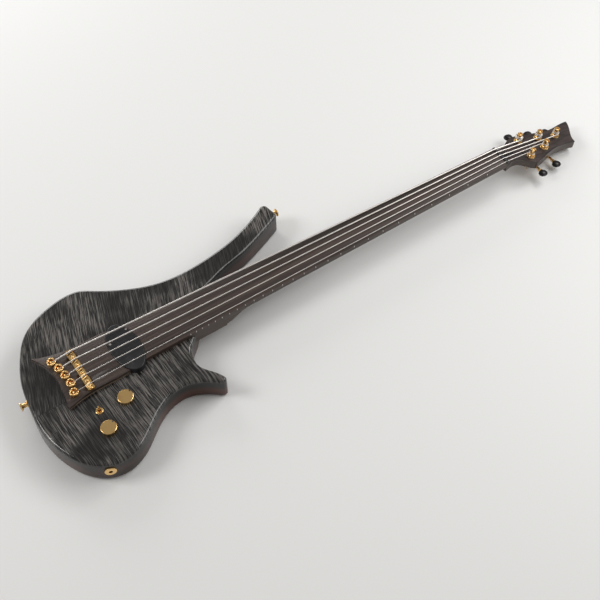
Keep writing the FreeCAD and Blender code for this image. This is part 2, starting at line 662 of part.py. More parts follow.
def make_pickup():
    top = BOARD_TOP + PICKUP_ABOVE_BOARD
    base = pickup_base()
    outer = pickup_shape(0, base + PICKUP_BASE_THICKNESS, top)
    rim = [e for e in outer.Edges if e.BoundBox.ZLength < 0.01 and e.BoundBox.ZMin > top - 1]
    outer = outer.makeFillet(1.5, rim)
    hollow = pickup_shape(-PICKUP_WALL, base + PICKUP_BASE_THICKNESS, top - PICKUP_WALL)
    cover = outer.cut(hollow)
    screws = pickup_screw_places()
    cover = cover.cut([pin(SMALL_SCREW_RADIUS + FIT, x, y, base, top + 1) for x, y in screws]
                      + [pin(SMALL_SCREW_HEAD + FIT, x, y, top - 1, top + 1) for x, y in screws])
    save("pickup_cover", cover)
    plate = pickup_shape(0, base, base + PICKUP_BASE_THICKNESS)
    save("pickup_baseplate", plate)
    coils, magnets = [], []
    floor = base + PICKUP_BASE_THICKNESS
    length = coil_length()
    for side in (-1, 1):
        x = PICKUP_X + side * (COIL_WIDTH + COIL_GAP) / 2
        core = stadium(x, PICKUP_Y, length - COIL_WIDTH + MAGNET_WIDTH, MAGNET_WIDTH + 2 * FIT, 0, BOARD_TOP)
        coil = stadium(x, PICKUP_Y, length, COIL_WIDTH, floor + LOOSE, floor + LOOSE + COIL_HEIGHT)
        coils.append(coil.cut(core))
        half = (length - COIL_WIDTH) / 2
        magnets.append(block(x - MAGNET_WIDTH / 2, x + MAGNET_WIDTH / 2, PICKUP_Y - half, PICKUP_Y + half,
                             floor, top - PICKUP_WALL - 0.3))
    save("pickup_coils", coils)
    save("pickup_magnets", magnets)


def pickup_screw_places():
    return ((PICKUP_X - 19, PICKUP_Y + 17), (PICKUP_X + 17, PICKUP_Y + 31))


# ---------------------------------------------------------------- bridge
def lock_screw_places():
    """Beside each saddle on the thin strings' side: halfway to the next one, and at the rail's end."""
    places = [(RAIL_X, (saddle_y(i) + saddle_y(i + 1)) / 2) for i in range(len(NAMES) - 1)]
    return places + [(RAIL_X, RAIL_LOW_END + LOCK_SCREW_RADIUS + LOCK_SCREW_GAP)]


def make_bridge():
    bottom = rail_bottom()
    top = bottom + RAIL_HEIGHT
    rail = rail_blank(0, top)
    floor = bottom + SADDLE_FLOOR
    tools = []
    for index in range(len(NAMES)):
        y = saddle_y(index)
        half = SADDLE_WIDTH / 2 + RUNNING
        tools.append(block(RAIL_X - RAIL_WIDTH, RAIL_X + RAIL_WIDTH, y - half, y + half, floor, top + 1))
    lock_places = lock_screw_places()
    tools += [pin(LOCK_SCREW_RADIUS * 0.5 + FIT, x, y, bottom - 1, top + 1) for x, y in lock_places]
    save("bridge_rail", rail.cut(tools))

    screws = []
    for x, y in lock_places:
        r = LOCK_SCREW_RADIUS
        screws.append(turned(((0, bottom), (r * 0.5, bottom), (r * 0.5, top), (r, top), (r, top + 0.9),
                              (r * 0.55, top + 2.0), (0, top + 2.3)), Vector(x, y, 0)))
    save("rail_screws", screws)

    for index in range(len(NAMES)):
        make_saddle(index, floor + RUNNING)


def make_saddle(index, floor):
    """Saddle block: a crest right under the string, falling away behind it."""
    contact = string_at_saddle(index)
    radius = GAUGES[NAMES[index]] / 2
    crest = contact.z - radius - 2 * RUNNING
    rear = -SADDLE_LENGTH
    profile = [Vector(rear, 0, floor), Vector(0, 0, floor), Vector(0, 0, crest - 0.3), Vector(-0.5, 0, crest),
               Vector(-1.6, 0, crest - 0.5), Vector(rear, 0, crest - 3.4)]
    face = Part.Face(Part.makePolygon(profile + profile[:1]))
    solid = face.extrude(Vector(0, SADDLE_WIDTH, 0))
    solid.translate(Vector(0, contact.y - SADDLE_WIDTH / 2, 0))
    save(f"saddle_{NAMES[index]}", solid)


def anchor_top(index):
    return BOARD_TOP - crown(saddle_y(index)) + ANCHOR_ABOVE_BOARD


def make_anchors():
    anchors = []
    for index, name in enumerate(NAMES):
        top = anchor_top(index)
        bore = ANCHOR_RADIUS - ANCHOR_WALL
        base = Vector(ANCHOR_X[name], saddle_y(index), 0)
        floor = BODY_THICKNESS + ANCHOR_FLOOR
        cup = turned(((0, BODY_THICKNESS), (ANCHOR_RADIUS, BODY_THICKNESS), (ANCHOR_RADIUS, top - 1),
                      (ANCHOR_RADIUS - 1, top), (bore, top), (bore, floor), (0, floor)), base)
        slot = GAUGES[name] / 2 + 0.4
        points = string_points(index)
        low = points[0].z - slot
        cup = cup.cut(block(base.x, base.x + 20, base.y - slot, base.y + slot, low, top + 1))
        anchors.append(cup)
    save("string_anchors", anchors)


# ---------------------------------------------------------------- strings
def winding_radius(name):
    return POST_RADIUS + LOOSE + GAUGES[name] / 2


def string_points(index):
    """Axis of a string: ball end, saddle, nut, and where it meets its post."""
    name = NAMES[index]
    s, y = POSTS[name]
    side = -1 if y > 0 else 1
    ball = Vector(ANCHOR_X[name], saddle_y(index), anchor_top(index) - BALL_UNDER_RIM)
    meets = HEAD.multVec(Vector(s, y + side * winding_radius(name), WINDING_START))
    return ball, string_at_saddle(index), string_at_nut(index), meets


def winding(index):
    """The turns round the post, from where the string meets it, rising along the post."""
    name = NAMES[index]
    s, y = POSTS[name]
    gauge = GAUGES[name]
    bass_side = y > 0
    radius = winding_radius(name)
    pitch = gauge + 0.12
    helix = Part.makeHelix(pitch, pitch * WINDING_TURNS, radius, 0, not bass_side)
    corners = [Vector(radius + gauge / 2 * cos(radians(60 * k)), 0, gauge / 2 * sin(radians(60 * k)))
               for k in range(6)]
    section = Part.makePolygon(corners + corners[:1])
    coil = Part.Wire(helix.Edges).makePipeShell([section], True, True)
    coil.Placement = Placement(Vector(s, y, WINDING_START), Rotation(UP, -90 if bass_side else 90))
    return on_head(coil)


def make_strings():
    for index, name in enumerate(NAMES):
        points = string_points(index)
        radius = GAUGES[name] / 2
        along = points[3] - points[2]
        along.normalize()
        path = Part.makePolygon([*points[:3], points[3] + along * STRING_LAP])
        direction = points[1] - points[0]
        circle = Part.Wire(Part.makeCircle(radius, points[0], direction))
        core = path.makePipeShell([circle], True, False, 1)
        half_ball = Vector(0, BALL_LENGTH / 2, 0)
        ball = rod(BALL_RADIUS, points[0] - half_ball, points[0] + half_ball)
        save(f"string_{name}", core.fuse([ball, winding(index)]))


# ---------------------------------------------------------------- machine heads
def wheel_profile(turn, height):
    """Outline of the worm wheel at one height: twenty straight-sided teeth."""
    root = WHEEL_PITCH_RADIUS - 1.25 * GEAR_MODULE
    tip = WHEEL_PITCH_RADIUS + GEAR_MODULE - 0.1
    half_pitch = pi / WHEEL_TEETH
    flank = tan(radians(PRESSURE_ANGLE))
    thick = WORM_LEAD / 4 - GEAR_BACKLASH / 2
    at_root = (thick + flank * (WHEEL_PITCH_RADIUS - root)) / root
    at_tip = (thick - flank * (tip - WHEEL_PITCH_RADIUS)) / tip
    corners = []
    for tooth in range(WHEEL_TEETH):
        middle = turn + half_pitch * (2 * tooth + 1)
        for radius, angle in ((root, -at_root), (tip, -at_tip), (tip, at_tip), (root, at_root)):
            corners.append(Vector(radius * cos(middle + angle), radius * sin(middle + angle), height))
    return Part.makePolygon(corners + corners[:1])


def worm_wheel():
    """Wheel in the post's own frame, its teeth leaning as the worm's thread does."""
    lean = WORM_LEAD / (2 * pi * WORM_PITCH_RADIUS) / WHEEL_PITCH_RADIUS * WHEEL_WIDTH / 2
    low, high = GEAR_LEVEL - WHEEL_WIDTH / 2, GEAR_LEVEL + WHEEL_WIDTH / 2
    wheel = Part.makeLoft([wheel_profile(-lean, low), wheel_profile(lean, high)], True, True)
    return wheel.cut(pin(WHEEL_BORE + FIT, 0, 0, low - 1, high + 1))


def post_body():
    seat = GEAR_LEVEL + WHEEL_WIDTH / 2 + FIT
    low = GEAR_LEVEL - WHEEL_WIDTH / 2 - 0.5
    shoulder = BUSHING_FLANGE + 0.2
    post = turned((
        (0, low), (WHEEL_BORE, low), (WHEEL_BORE, seat), (POST_SHAFT_RADIUS, seat),
        (POST_SHAFT_RADIUS, shoulder), (POST_HEAD_RADIUS, shoulder), (POST_RADIUS, shoulder + 1.6),
        (POST_RADIUS, POST_HEIGHT - POST_CAP),
        (POST_HEAD_RADIUS, POST_HEIGHT - POST_CAP + 0.8), (POST_HEAD_RADIUS, POST_HEIGHT - 0.8),
        (POST_HEAD_RADIUS - 1, POST_HEIGHT), (0, POST_HEIGHT),
    ))
    slot = block(-POST_SLOT / 2, POST_SLOT / 2, -POST_HEAD_RADIUS, POST_HEAD_RADIUS,
                 POST_HEIGHT - POST_SLOT, POST_HEIGHT + 1)
    return post.cut(slot)


def worm():
    """Worm along +Z about its own middle, one thread centred where it faces +X."""
    length = WORM_TURNS * WORM_LEAD
    root = WORM_PITCH_RADIUS - 1.25 * GEAR_MODULE - 0.05
    tip = WORM_PITCH_RADIUS + GEAR_MODULE - 0.1
    flank = tan(radians(PRESSURE_ANGLE))
    thick = WORM_LEAD / 4 - GEAR_BACKLASH / 2
    inner = root - 0.25
    at_inner = thick + flank * (WORM_PITCH_RADIUS - inner)
    at_tip = thick - flank * (tip - WORM_PITCH_RADIUS)
    corners = [Vector(inner, 0, -at_inner), Vector(tip, 0, -at_tip), Vector(tip, 0, at_tip),
               Vector(inner, 0, at_inner)]
    helix = Part.makeHelix(WORM_LEAD, length, WORM_PITCH_RADIUS)
    thread = Part.Wire(helix.Edges).makePipeShell([Part.makePolygon(corners + corners[:1])], True, True)
    thread.rotate(Vector(), UP, -180 * WORM_TURNS)
    thread.translate(Vector(0, 0, -length / 2))
    core_half = length / 2 + at_inner + 0.3
    core = Part.makeCylinder(root, 2 * core_half, Vector(0, 0, -core_half))
    return core.fuse(thread), core_half


def gear_frame(name):
    """Frame of a worm: +Z outwards to the key, +X towards its wheel."""
    s, y = POSTS[name]
    outward = 1 if y > 0 else -1
    place = Placement(Vector(s + GEAR_CENTRES, y, GEAR_LEVEL), Rotation(Vector(-1, 0, 0), Vector(0, 0, 1),
                                                                        Vector(0, outward, 0), "ZXY"))
    return HEAD.multiply(place)


def make_tuners():
    plates, bushings = [], []
    wheel = worm_wheel()
    post = post_body()
    thread, core_half = worm()
    ear = core_half + LOOSE
    key_start = KEY_REACH - KEY_LENGTH / 2
    shaft = worm_shaft(core_half, ear, key_start)
    tail = rod(WORM_SHAFT_RADIUS, Vector(0, 0, 0.5 - core_half), Vector(0, 0, -ear - TUNER_EAR))
    worm_solid = thread.fuse([shaft, tail])
    key = key_button(key_start)
    plate = tuner_plate(ear)
    for name, (s, y) in POSTS.items():
        frame = gear_frame(name)
        at_post = HEAD.multiply(Placement(Vector(s, y, 0), Rotation()))
        save(f"post_{name}", [placed(post, at_post), placed(wheel, at_post)])
        save(f"worm_{name}", placed(worm_solid, frame))
        save(f"key_{name}", placed(key, frame))
        plates.append(placed(plate, at_post))
        bushings.append(placed(bushing(), at_post))
    save("tuner_plates", plates)
    save("tuner_bushings", bushings)


def placed(shape, placement):
    copy = shape.copy()
    copy.Placement = placement.multiply(copy.Placement)
    return copy


def worm_shaft(core_half, ear, key_start):
    """Worm's shaft outside its ear: a bead, a neck, and a cone that flares to the key."""
    outside = ear + TUNER_EAR
    tenon_end = key_start + KEY_LENGTH / 2
    return turned((
        (0, core_half - 0.5), (WORM_SHAFT_RADIUS, core_half - 0.5), (WORM_SHAFT_RADIUS, outside + LOOSE),
        (KEY_BEAD_RADIUS, outside + 1.4), (WORM_SHAFT_RADIUS, outside + 3.4),
        (KEY_SEAT_RADIUS, key_start - 1.4), (KEY_SEAT_RADIUS, key_start), (KEY_TENON_RADIUS, key_start),
        (KEY_TENON_RADIUS, tenon_end), (0, tenon_end),
    ))


def bushing():
    bore = POST_SHAFT_RADIUS + RUNNING
    bottom = 1 - HEAD_THICKNESS
    return turned(((bore, bottom), (BUSHING_SLEEVE, bottom), (BUSHING_SLEEVE, 0), (BUSHING_RADIUS, 0),
                   (BUSHING_RADIUS - 0.8, BUSHING_FLANGE), (bore, BUSHING_FLANGE)))


def key_button(start):
    """Oval key, thickest in the middle, on the tenon of the worm's shaft."""
    sections = []
    for share, width, thick in KEY_SHAPE:
        height = start + FIT + KEY_LENGTH * share
        curve = Part.Ellipse(Vector(KEY_HALF_WIDTH * width, 0, height),
                             Vector(0, KEY_HALF_THICKNESS * thick, height), Vector(0, 0, height))
        sections.append(Part.Wire(curve.toShape()))
    key = Part.makeLoft(sections, True, True)
    return key.cut(pin(KEY_TENON_RADIUS + FIT, 0, 0, start - 1, start + KEY_LENGTH / 2 + 2 * FIT))


def tuner_plate(ear):
    """Base plate on the headstock's back, with two ears that carry the worm, in the post's own frame."""
    half = ear + TUNER_EAR
    low = -HEAD_THICKNESS - TUNER_PLATE
    plate = block(-BUSHING_RADIUS, GEAR_CENTRES + 5.5, -half, half, low, -HEAD_THICKNESS)
    plate = plate.makeFillet(3.0, [e for e in plate.Edges if e.BoundBox.ZLength > TUNER_PLATE / 2])
    ears = []
    for side in (-1, 1):
        y0 = side * (ear + TUNER_EAR / 2) - TUNER_EAR / 2
        lug = block(GEAR_CENTRES - EAR_HALF, GEAR_CENTRES + EAR_HALF, y0, y0 + TUNER_EAR,
                    GEAR_LEVEL, low + 0.5)
        nose = Part.makeCylinder(EAR_HALF, TUNER_EAR, Vector(GEAR_CENTRES, y0, GEAR_LEVEL), Vector(0, 1, 0))
        ears += [lug, nose]
    reach = Vector(0, half + 1, 0)
    axis_middle = Vector(GEAR_CENTRES, 0, GEAR_LEVEL)
    bore = rod(WORM_SHAFT_RADIUS + RUNNING, axis_middle - reach, axis_middle + reach)
    return plate.fuse(ears).removeSplitter().cut([bore, pin(POST_SHAFT_RADIUS + LOOSE, 0, 0, low - 1, 0)])


# ---------------------------------------------------------------- controls
def make_knobs():
    low = BODY_THICKNESS + KNOB_GAP
    top = low + KNOB_HEIGHT
    recess = PANEL_NUT_RADIUS + 1.2
    pots, nuts = [], []
    bore = POT_SHAFT_RADIUS + RUNNING
    for name, (x, y) in KNOBS.items():
        place = Vector(x, y, 0)
        hole = POT_SHAFT_RADIUS + FIT
        knob = turned(((hole, low + 2.4), (hole, top - KNOB_ROOF), (0, top - KNOB_ROOF), (0, top),
                       (KNOB_RADIUS - 0.9, top), (KNOB_RADIUS, top - 0.9), (KNOB_RADIUS, low),
                       (recess, low), (recess, low + 2.4)), place)
        mark = KNOB_RADIUS - 1.9
        angle = radians(KNOB_MARK_ANGLE)
        dot = x + mark * cos(angle), y + mark * sin(angle)
        save(f"{name}_knob", knob.cut(pin(KNOB_MARK_RADIUS, *dot, top - 1.0, top + 1)))
        case = CAVITY_TOP - POT_HEIGHT
        save(f"{name}_shaft", pin(POT_SHAFT_RADIUS, x, y, case + 1.6, top - KNOB_ROOF - FIT))
        pots.append(turned(((0, case), (POT_RADIUS, case), (POT_RADIUS, CAVITY_TOP),
                            (POT_BUSHING_RADIUS, CAVITY_TOP), (POT_BUSHING_RADIUS, low + 2.0),
                            (bore, low + 2.0), (bore, case + 1.5), (0, case + 1.5)), place))
        nuts.append(panel_nut(place, POT_BUSHING_RADIUS))
    save("pots", pots)
    x, y = TOGGLE
    nuts.append(panel_nut(Vector(x, y, 0), TOGGLE_BUSHING_RADIUS))
    save("panel_nuts", nuts)


def panel_nut(place, thread):
    return turned(((thread + FIT, BODY_THICKNESS), (PANEL_NUT_RADIUS, BODY_THICKNESS),
                   (PANEL_NUT_RADIUS, BODY_THICKNESS + PANEL_NUT_HEIGHT - 0.6),
                   (PANEL_NUT_RADIUS - 0.8, BODY_THICKNESS + PANEL_NUT_HEIGHT),
                   (thread + FIT, BODY_THICKNESS + PANEL_NUT_HEIGHT)), place)


def make_toggle():
    x, y = TOGGLE
    length, width, height = TOGGLE_BOX
    pivot = toggle_pivot().z
    case = block(x - width / 2, x + width / 2, y - length / 2, y + length / 2,
                 CAVITY_TOP - height, CAVITY_TOP)
    rim = BODY_THICKNESS + PANEL_NUT_HEIGHT + 0.8
    barrel = pin(TOGGLE_BUSHING_RADIUS, x, y, CAVITY_TOP - 1, rim)
    well = pin(TOGGLE_BORE_RADIUS, x, y, pivot - TOGGLE_BALL_RADIUS - 0.2, rim + 1)
    save("toggle_body", case.fuse(barrel).cut(well))
    top = BODY_THICKNESS + TOGGLE_LEVER_HEIGHT
    ball = Part.makeSphere(TOGGLE_BALL_RADIUS, Vector(x, y, pivot))
    reach = Vector(TOGGLE_BORE_RADIUS - LOOSE, 0, 0)
    cross_pin = rod(TOGGLE_PIVOT_RADIUS, Vector(x, y, pivot) - reach, Vector(x, y, pivot) + reach)
    lever = turned(((0, pivot), (TOGGLE_LEVER_RADIUS, pivot), (TOGGLE_LEVER_TIP, top - 1.2),
                    (TOGGLE_LEVER_TIP * 0.6, top), (0, top)), Vector(x, y, 0))
    save("toggle_lever", ball.fuse([lever, cross_pin]))


def toggle_pivot():
    return Vector(TOGGLE[0], TOGGLE[1], BODY_THICKNESS - 1.5)


def make_cavity_cover():
    cover = cavity_prism(CAVITY_ROUND + COVER_LEDGE - COVER_CLEARANCE, 0, COVER_THICKNESS)
    places = cover_screw_places()
    holes = [pin(SMALL_SCREW_RADIUS + FIT, x, y, -1, COVER_THICKNESS + 1) for x, y in places]
    sinks = [pin(SMALL_SCREW_HEAD + FIT, x, y, -1, 1.0) for x, y in places]
    save("cavity_cover", cover.cut(holes + sinks))


def small_screw(place, into, length):
    """Flat-headed wood screw: its head's outer face at place, pointing along into."""
    return turned(((0, 0.1), (SMALL_SCREW_HEAD, 0.1), (SMALL_SCREW_HEAD, 0.95), (SMALL_SCREW_RADIUS, 0.95),
                   (SMALL_SCREW_RADIUS, length), (0, length)), place, into)


def make_small_screws(strap_screws):
    screws = [small_screw(Vector(x, y, 0), UP, 11) for x, y in cover_screw_places()]
    top = BOARD_TOP + PICKUP_ABOVE_BOARD
    depth = top - pickup_base() - PICKUP_BASE_THICKNESS
    screws += [small_screw(Vector(x, y, top), -UP, depth) for x, y in pickup_screw_places()]
    save("small_screws", screws + strap_screws)


def make_strap_buttons():
    buttons, screws = [], []
    for seat, outward in strap_seats():
        r = BUTTON_SCREW_RADIUS + FIT
        well = BUTTON_SCREW_RADIUS * 1.9
        buttons.append(turned((
            (r, 0), (BUTTON_FOOT_RADIUS, 0), (BUTTON_FOOT_RADIUS, 1.2), (BUTTON_NECK_RADIUS, 3.0),
            (BUTTON_NECK_RADIUS, BUTTON_LENGTH - 3.6), (BUTTON_HEAD_RADIUS, BUTTON_LENGTH - 2.0),
            (BUTTON_HEAD_RADIUS, BUTTON_LENGTH - 0.6), (BUTTON_HEAD_RADIUS - 0.8, BUTTON_LENGTH),
            (well, BUTTON_LENGTH), (well, BUTTON_LENGTH - 2.4), (r, BUTTON_LENGTH - 2.4),
        ), seat, outward))
        end = seat + outward * (BUTTON_LENGTH - 0.3)
        screws.append(turned(((0, 0), (well - FIT, 0.6), (well - FIT, 2.05), (BUTTON_SCREW_RADIUS, 2.05),
                              (BUTTON_SCREW_RADIUS, BUTTON_LENGTH + BUTTON_SCREW_LENGTH - 4),
                              (0, BUTTON_LENGTH + BUTTON_SCREW_LENGTH - 1)), end, outward * -1))
    save("strap_buttons", buttons)
    return screws


def make_jack():
    seat, outward = jack_seat()
    jack = turned((
        (JACK_BORE_RADIUS, JACK_FLANGE), (JACK_BORE_RADIUS, JACK_FLANGE - JACK_BORE_LENGTH),
        (0, JACK_FLANGE - JACK_BORE_LENGTH), (0, -JACK_LENGTH), (JACK_BARREL_RADIUS - 2, -JACK_LENGTH),
        (JACK_BARREL_RADIUS, 2 - JACK_LENGTH), (JACK_BARREL_RADIUS, 0), (JACK_FLANGE_RADIUS, 0),
        (JACK_FLANGE_RADIUS, JACK_FLANGE - 0.8), (JACK_FLANGE_RADIUS - 0.8, JACK_FLANGE),
    ), seat, outward)
    save("output_jack", jack)


def make_wiring():
    """Leads from the pickup to the controls, between the controls, and to the jack."""
    start, end = wire_run()
    level = CAVITY_TOP - POT_HEIGHT - WIRE_RADIUS - WIRE_CLEARANCE
    volume, tone = [Vector(x, y, level) for x, y in KNOBS.values()]
    seat, outward = jack_seat()
    jack_end = seat - outward * (JACK_LENGTH + LOOSE)
    save("wiring", [rod(WIRE_RADIUS, start, end), rod(WIRE_RADIUS, volume, tone),
                    rod(WIRE_RADIUS, jack_end, tone - Vector(2, 3, 0))])


def main():
    make_body()
    make_board()
    make_nut()
    make_neck()
    make_truss_rod()
    make_neck_screws()
    make_pickup()
    make_bridge()
    make_anchors()
    make_strings()
    make_tuners()
    make_knobs()
    make_toggle()
    make_cavity_cover()
    make_small_screws(make_strap_buttons())
    make_jack()
    make_wiring()


if __name__ == "__main__":
    main()
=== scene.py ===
"""Finish and stage of a fretless five-string bass guitar, laid out as an add-on and run as a script."""

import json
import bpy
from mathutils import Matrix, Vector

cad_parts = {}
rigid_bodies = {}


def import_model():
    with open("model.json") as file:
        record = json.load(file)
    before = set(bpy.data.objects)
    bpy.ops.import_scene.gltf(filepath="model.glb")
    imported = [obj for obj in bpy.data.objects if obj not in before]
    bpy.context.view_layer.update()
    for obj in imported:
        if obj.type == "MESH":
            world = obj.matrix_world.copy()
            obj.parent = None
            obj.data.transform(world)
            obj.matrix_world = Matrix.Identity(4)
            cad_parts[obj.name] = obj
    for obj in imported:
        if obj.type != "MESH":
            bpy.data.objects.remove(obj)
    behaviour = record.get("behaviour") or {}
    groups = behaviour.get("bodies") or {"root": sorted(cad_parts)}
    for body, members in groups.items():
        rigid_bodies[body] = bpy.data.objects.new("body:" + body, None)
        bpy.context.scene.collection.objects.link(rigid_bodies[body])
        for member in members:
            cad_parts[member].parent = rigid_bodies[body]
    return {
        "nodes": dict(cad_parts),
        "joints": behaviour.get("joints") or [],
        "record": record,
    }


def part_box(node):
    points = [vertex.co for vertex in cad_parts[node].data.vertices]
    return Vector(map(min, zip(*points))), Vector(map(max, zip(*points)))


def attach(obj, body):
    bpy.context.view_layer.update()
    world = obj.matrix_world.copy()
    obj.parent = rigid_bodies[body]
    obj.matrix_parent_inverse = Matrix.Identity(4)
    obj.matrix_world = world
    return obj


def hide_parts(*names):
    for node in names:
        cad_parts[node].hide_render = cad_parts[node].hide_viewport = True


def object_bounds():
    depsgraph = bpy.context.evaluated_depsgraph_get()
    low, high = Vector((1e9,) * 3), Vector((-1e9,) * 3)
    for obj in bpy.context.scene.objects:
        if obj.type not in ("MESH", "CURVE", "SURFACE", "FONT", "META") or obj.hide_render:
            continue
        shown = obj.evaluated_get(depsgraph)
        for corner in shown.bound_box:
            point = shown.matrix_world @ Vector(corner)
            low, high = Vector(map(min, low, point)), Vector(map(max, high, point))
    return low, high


bl_info = {
    "name": "Fretless Bass Finish",
    "version": (1, 0, 0),
    "blender": (4, 5, 0),
    "location": "3D View > Sidebar > Bass",
    "description": "Dresses the parts of a fretless bass guitar and sets its stage",
    "category": "Object",
}

from math import cos, pi, radians, sin

import bmesh
import bpy
from bpy.props import FloatProperty, FloatVectorProperty, IntProperty, PointerProperty
from mathutils import Matrix, Vector

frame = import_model()
FRAME_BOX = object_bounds()

STRINGS = ("b", "e", "a", "d", "g")
BODY = "instrument"
JOINTS = {joint["name"]: joint for joint in frame["joints"]}
SCALE_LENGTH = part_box("fingerboard")[1].x
BODIES = frame["record"]["behaviour"]["bodies"]
BODY_OF_NODE = {node: body for body, nodes in BODIES.items() for node in nodes}

# Lengths in metres, angles in degrees.
MERGE_DISTANCE = 0.000002     # points closer than this are one point
FLAT_ANGLE = 0.05             # faces that lean less than this become one face

KNOB_MARK_ANGLE = 27.0
KNOB_MARK_INSET = 0.0019      # from the knob's rim to the middle of its mark
KNOB_MARK_DEPTH = 0.0009
KNOB_MARK_SUNK = 0.00005

PLATE_REACH = 0.026           # a post's own plate lies within this distance of its foot
PLATE_HALF_LENGTH = 0.009     # stretch of the plate that its screws' places are measured on
PLATE_SCREW_BEHIND = 0.0066   # from the post's axis, along the plate
PLATE_SCREW_INSET = 0.0021    # in from the plate's long edges
PLATE_SCREW_RADIUS = 0.0013
PLATE_SCREW_HEIGHT = 0.0008
WHEEL_SCREW_RADIUS = 0.0034
WHEEL_SCREW_HEIGHT = 0.0011
PLATE_SCREW_TURN = 0.6        # radians that each screw's slot is turned on from the last
WHEEL_SCREW_TURN = 0.9

BOARD_RADIUS = 0.5            # of the board's crowned face
FLARE_X = 0.104               # where the board's straight edges turn outwards
HALF_WIDTH_AT_FLARE = 0.0389
MARKER_DEPTH_SHARE = 0.42     # of the board's thickness
MARKER_THICKNESS = 0.0009
MARKER_PROUD = 0.0003
MARKER_BEVEL = 0.00012

LAMINATE_PLACE = 0.0095       # from the neck's middle line to a pale laminate
LAMINATE_INNER = 0.0011       # half width of the laminate, and where its colour has faded out
LAMINATE_OUTER = 0.0013

SKY_COLOUR = (1.0, 0.975, 0.945, 1.0)
EBONY_DARK = (0.006, 0.005, 0.005, 1.0)


def colour_property(name, description, value):
    """RGB colour, given as three numbers; alpha is always 1."""
    return FloatVectorProperty(name=name, description=description, subtype="COLOR", size=4,
                               min=0.0, max=1.0, default=(*value, 1.0))


def size_property(name, description, value):
    """Length in metres."""
    return FloatProperty(name=name, description=description, default=value, unit="LENGTH",
                         subtype="DISTANCE", precision=5)


# ---------------------------------------------------------------- settings
class BassWoodSettings(bpy.types.PropertyGroup):
    """Colours and figure of the woods."""
    top_light: colour_property("Top, light stripes", "Lightest stain on the figured top",
                               (0.215, 0.2, 0.185))
    top_dark: colour_property("Top, dark stripes", "Darkest stain on the figured top",
                              (0.0045, 0.0042, 0.0042))
    core_brown: colour_property("Body core", "Brown of the body's sides", (0.07, 0.021, 0.01))
    core_black: colour_property("Body burst", "Black that the sides fade to under the top",
                                (0.005, 0.0045, 0.0045))
    board_light: colour_property("Board, light", "Lightest streaks of the fingerboard",
                                 (0.088, 0.06, 0.049))
    board_dark: colour_property("Board, dark", "Darkest streaks of the fingerboard",
                                (0.022, 0.014, 0.011))
    neck_light: colour_property("Neck, light", "Lightest grain of the neck", (0.075, 0.045, 0.029))
    neck_dark: colour_property("Neck, dark", "Darkest grain of the neck", (0.02, 0.012, 0.009))
    maple: colour_property("Maple lines", "Pale strip under the board and the neck's laminates",
                           (0.26, 0.2, 0.145))
    veneer_light: colour_property("Veneer, light", "Lightest figure of the headstock's face",
                                  (0.062, 0.042, 0.038))
    veneer_dark: colour_property("Veneer, dark", "Darkest figure of the headstock's face",
                                 (0.014, 0.0095, 0.009))
    ebony: colour_property("Ebony", "Keys and rod cover", (0.018, 0.015, 0.014))
    flame_pitch: size_property("Flame pitch", "Distance from one stripe of the top to the next", 0.0022)
    flame_length: size_property("Flame length", "How long a stripe runs across the body", 0.028)
    seam: size_property("Top's seam", "Where the two halves of the top meet, across the body", -0.037)


class BassHardwareSettings(bpy.types.PropertyGroup):
    """Colours and sizes of the metal and plastic parts."""
    gold: colour_property("Gold", "Gold plate", (0.92, 0.61, 0.26))
    steel: colour_property("Steel", "Strings and bare steel", (0.78, 0.74, 0.7))
    brass: colour_property("Brass", "Ball ends of the strings", (0.72, 0.48, 0.2))
    copper: colour_property("Copper", "Coil wire", (0.55, 0.24, 0.12))
    black: colour_property("Black", "Pickup cover, cavity cover and nut", (0.012, 0.012, 0.014))
    winding_pitch: size_property("Winding pitch", "Wrap wire pitch on the thickest string", 0.0006)
    ball_radius: size_property("Ball end radius", "Half width of a string's ball end", 0.0029)
    crown_radius: size_property("Crown radius", "Middle line of the lobed rim on a string anchor",
                                0.0062)
    crown_wire: size_property("Crown wire", "Half thickness of that rim", 0.0012)
    mark_radius: size_property("Knob mark radius", "Half width of the dark mark on a knob", 0.00122)
    marker_radius: size_property("Marker radius", "Half width of a side marker", 0.0009)
    marker_colour: colour_property("Side markers", "Inlaid lines on the board's edge",
                                   (0.75, 0.72, 0.66))
    marker_count: IntProperty(name="Side markers",
                              description="Semitones marked on the board's edge", default=27,
                              min=1, max=36)


class BassStageSettings(bpy.types.PropertyGroup):
    """Floor, lights and camera."""
    floor_colour: colour_property("Floor", "Plain pale floor", (0.80, 0.80, 0.79))
    lens: FloatProperty(name="Lens",
                        description="Focal length of the camera in millimetres", default=65.69, min=10.0)
    camera_place: FloatVectorProperty(name="Camera",
                                      description="Where the camera stands", subtype="TRANSLATION",
                                      unit="LENGTH", default=(-0.21792, -1.01612, 1.53077))
    key_power: FloatProperty(name="Key light",
                             description="Power of the large soft light", default=23.0, min=0.0,
                             unit="POWER")
    fill_power: FloatProperty(name="Fill light",
                              description="Power of the fill light", default=15.0, min=0.0,
                              unit="POWER")
    sky: FloatProperty(name="Sky",
                       description="Strength of the even surrounding light", default=0.33, min=0.0)


# ---------------------------------------------------------------- scene helpers
def select_only(*objects):
    bpy.ops.object.select_all(action="DESELECT")
    for item in objects:
        item.select_set(True)
    bpy.context.view_layer.objects.active = objects[0]


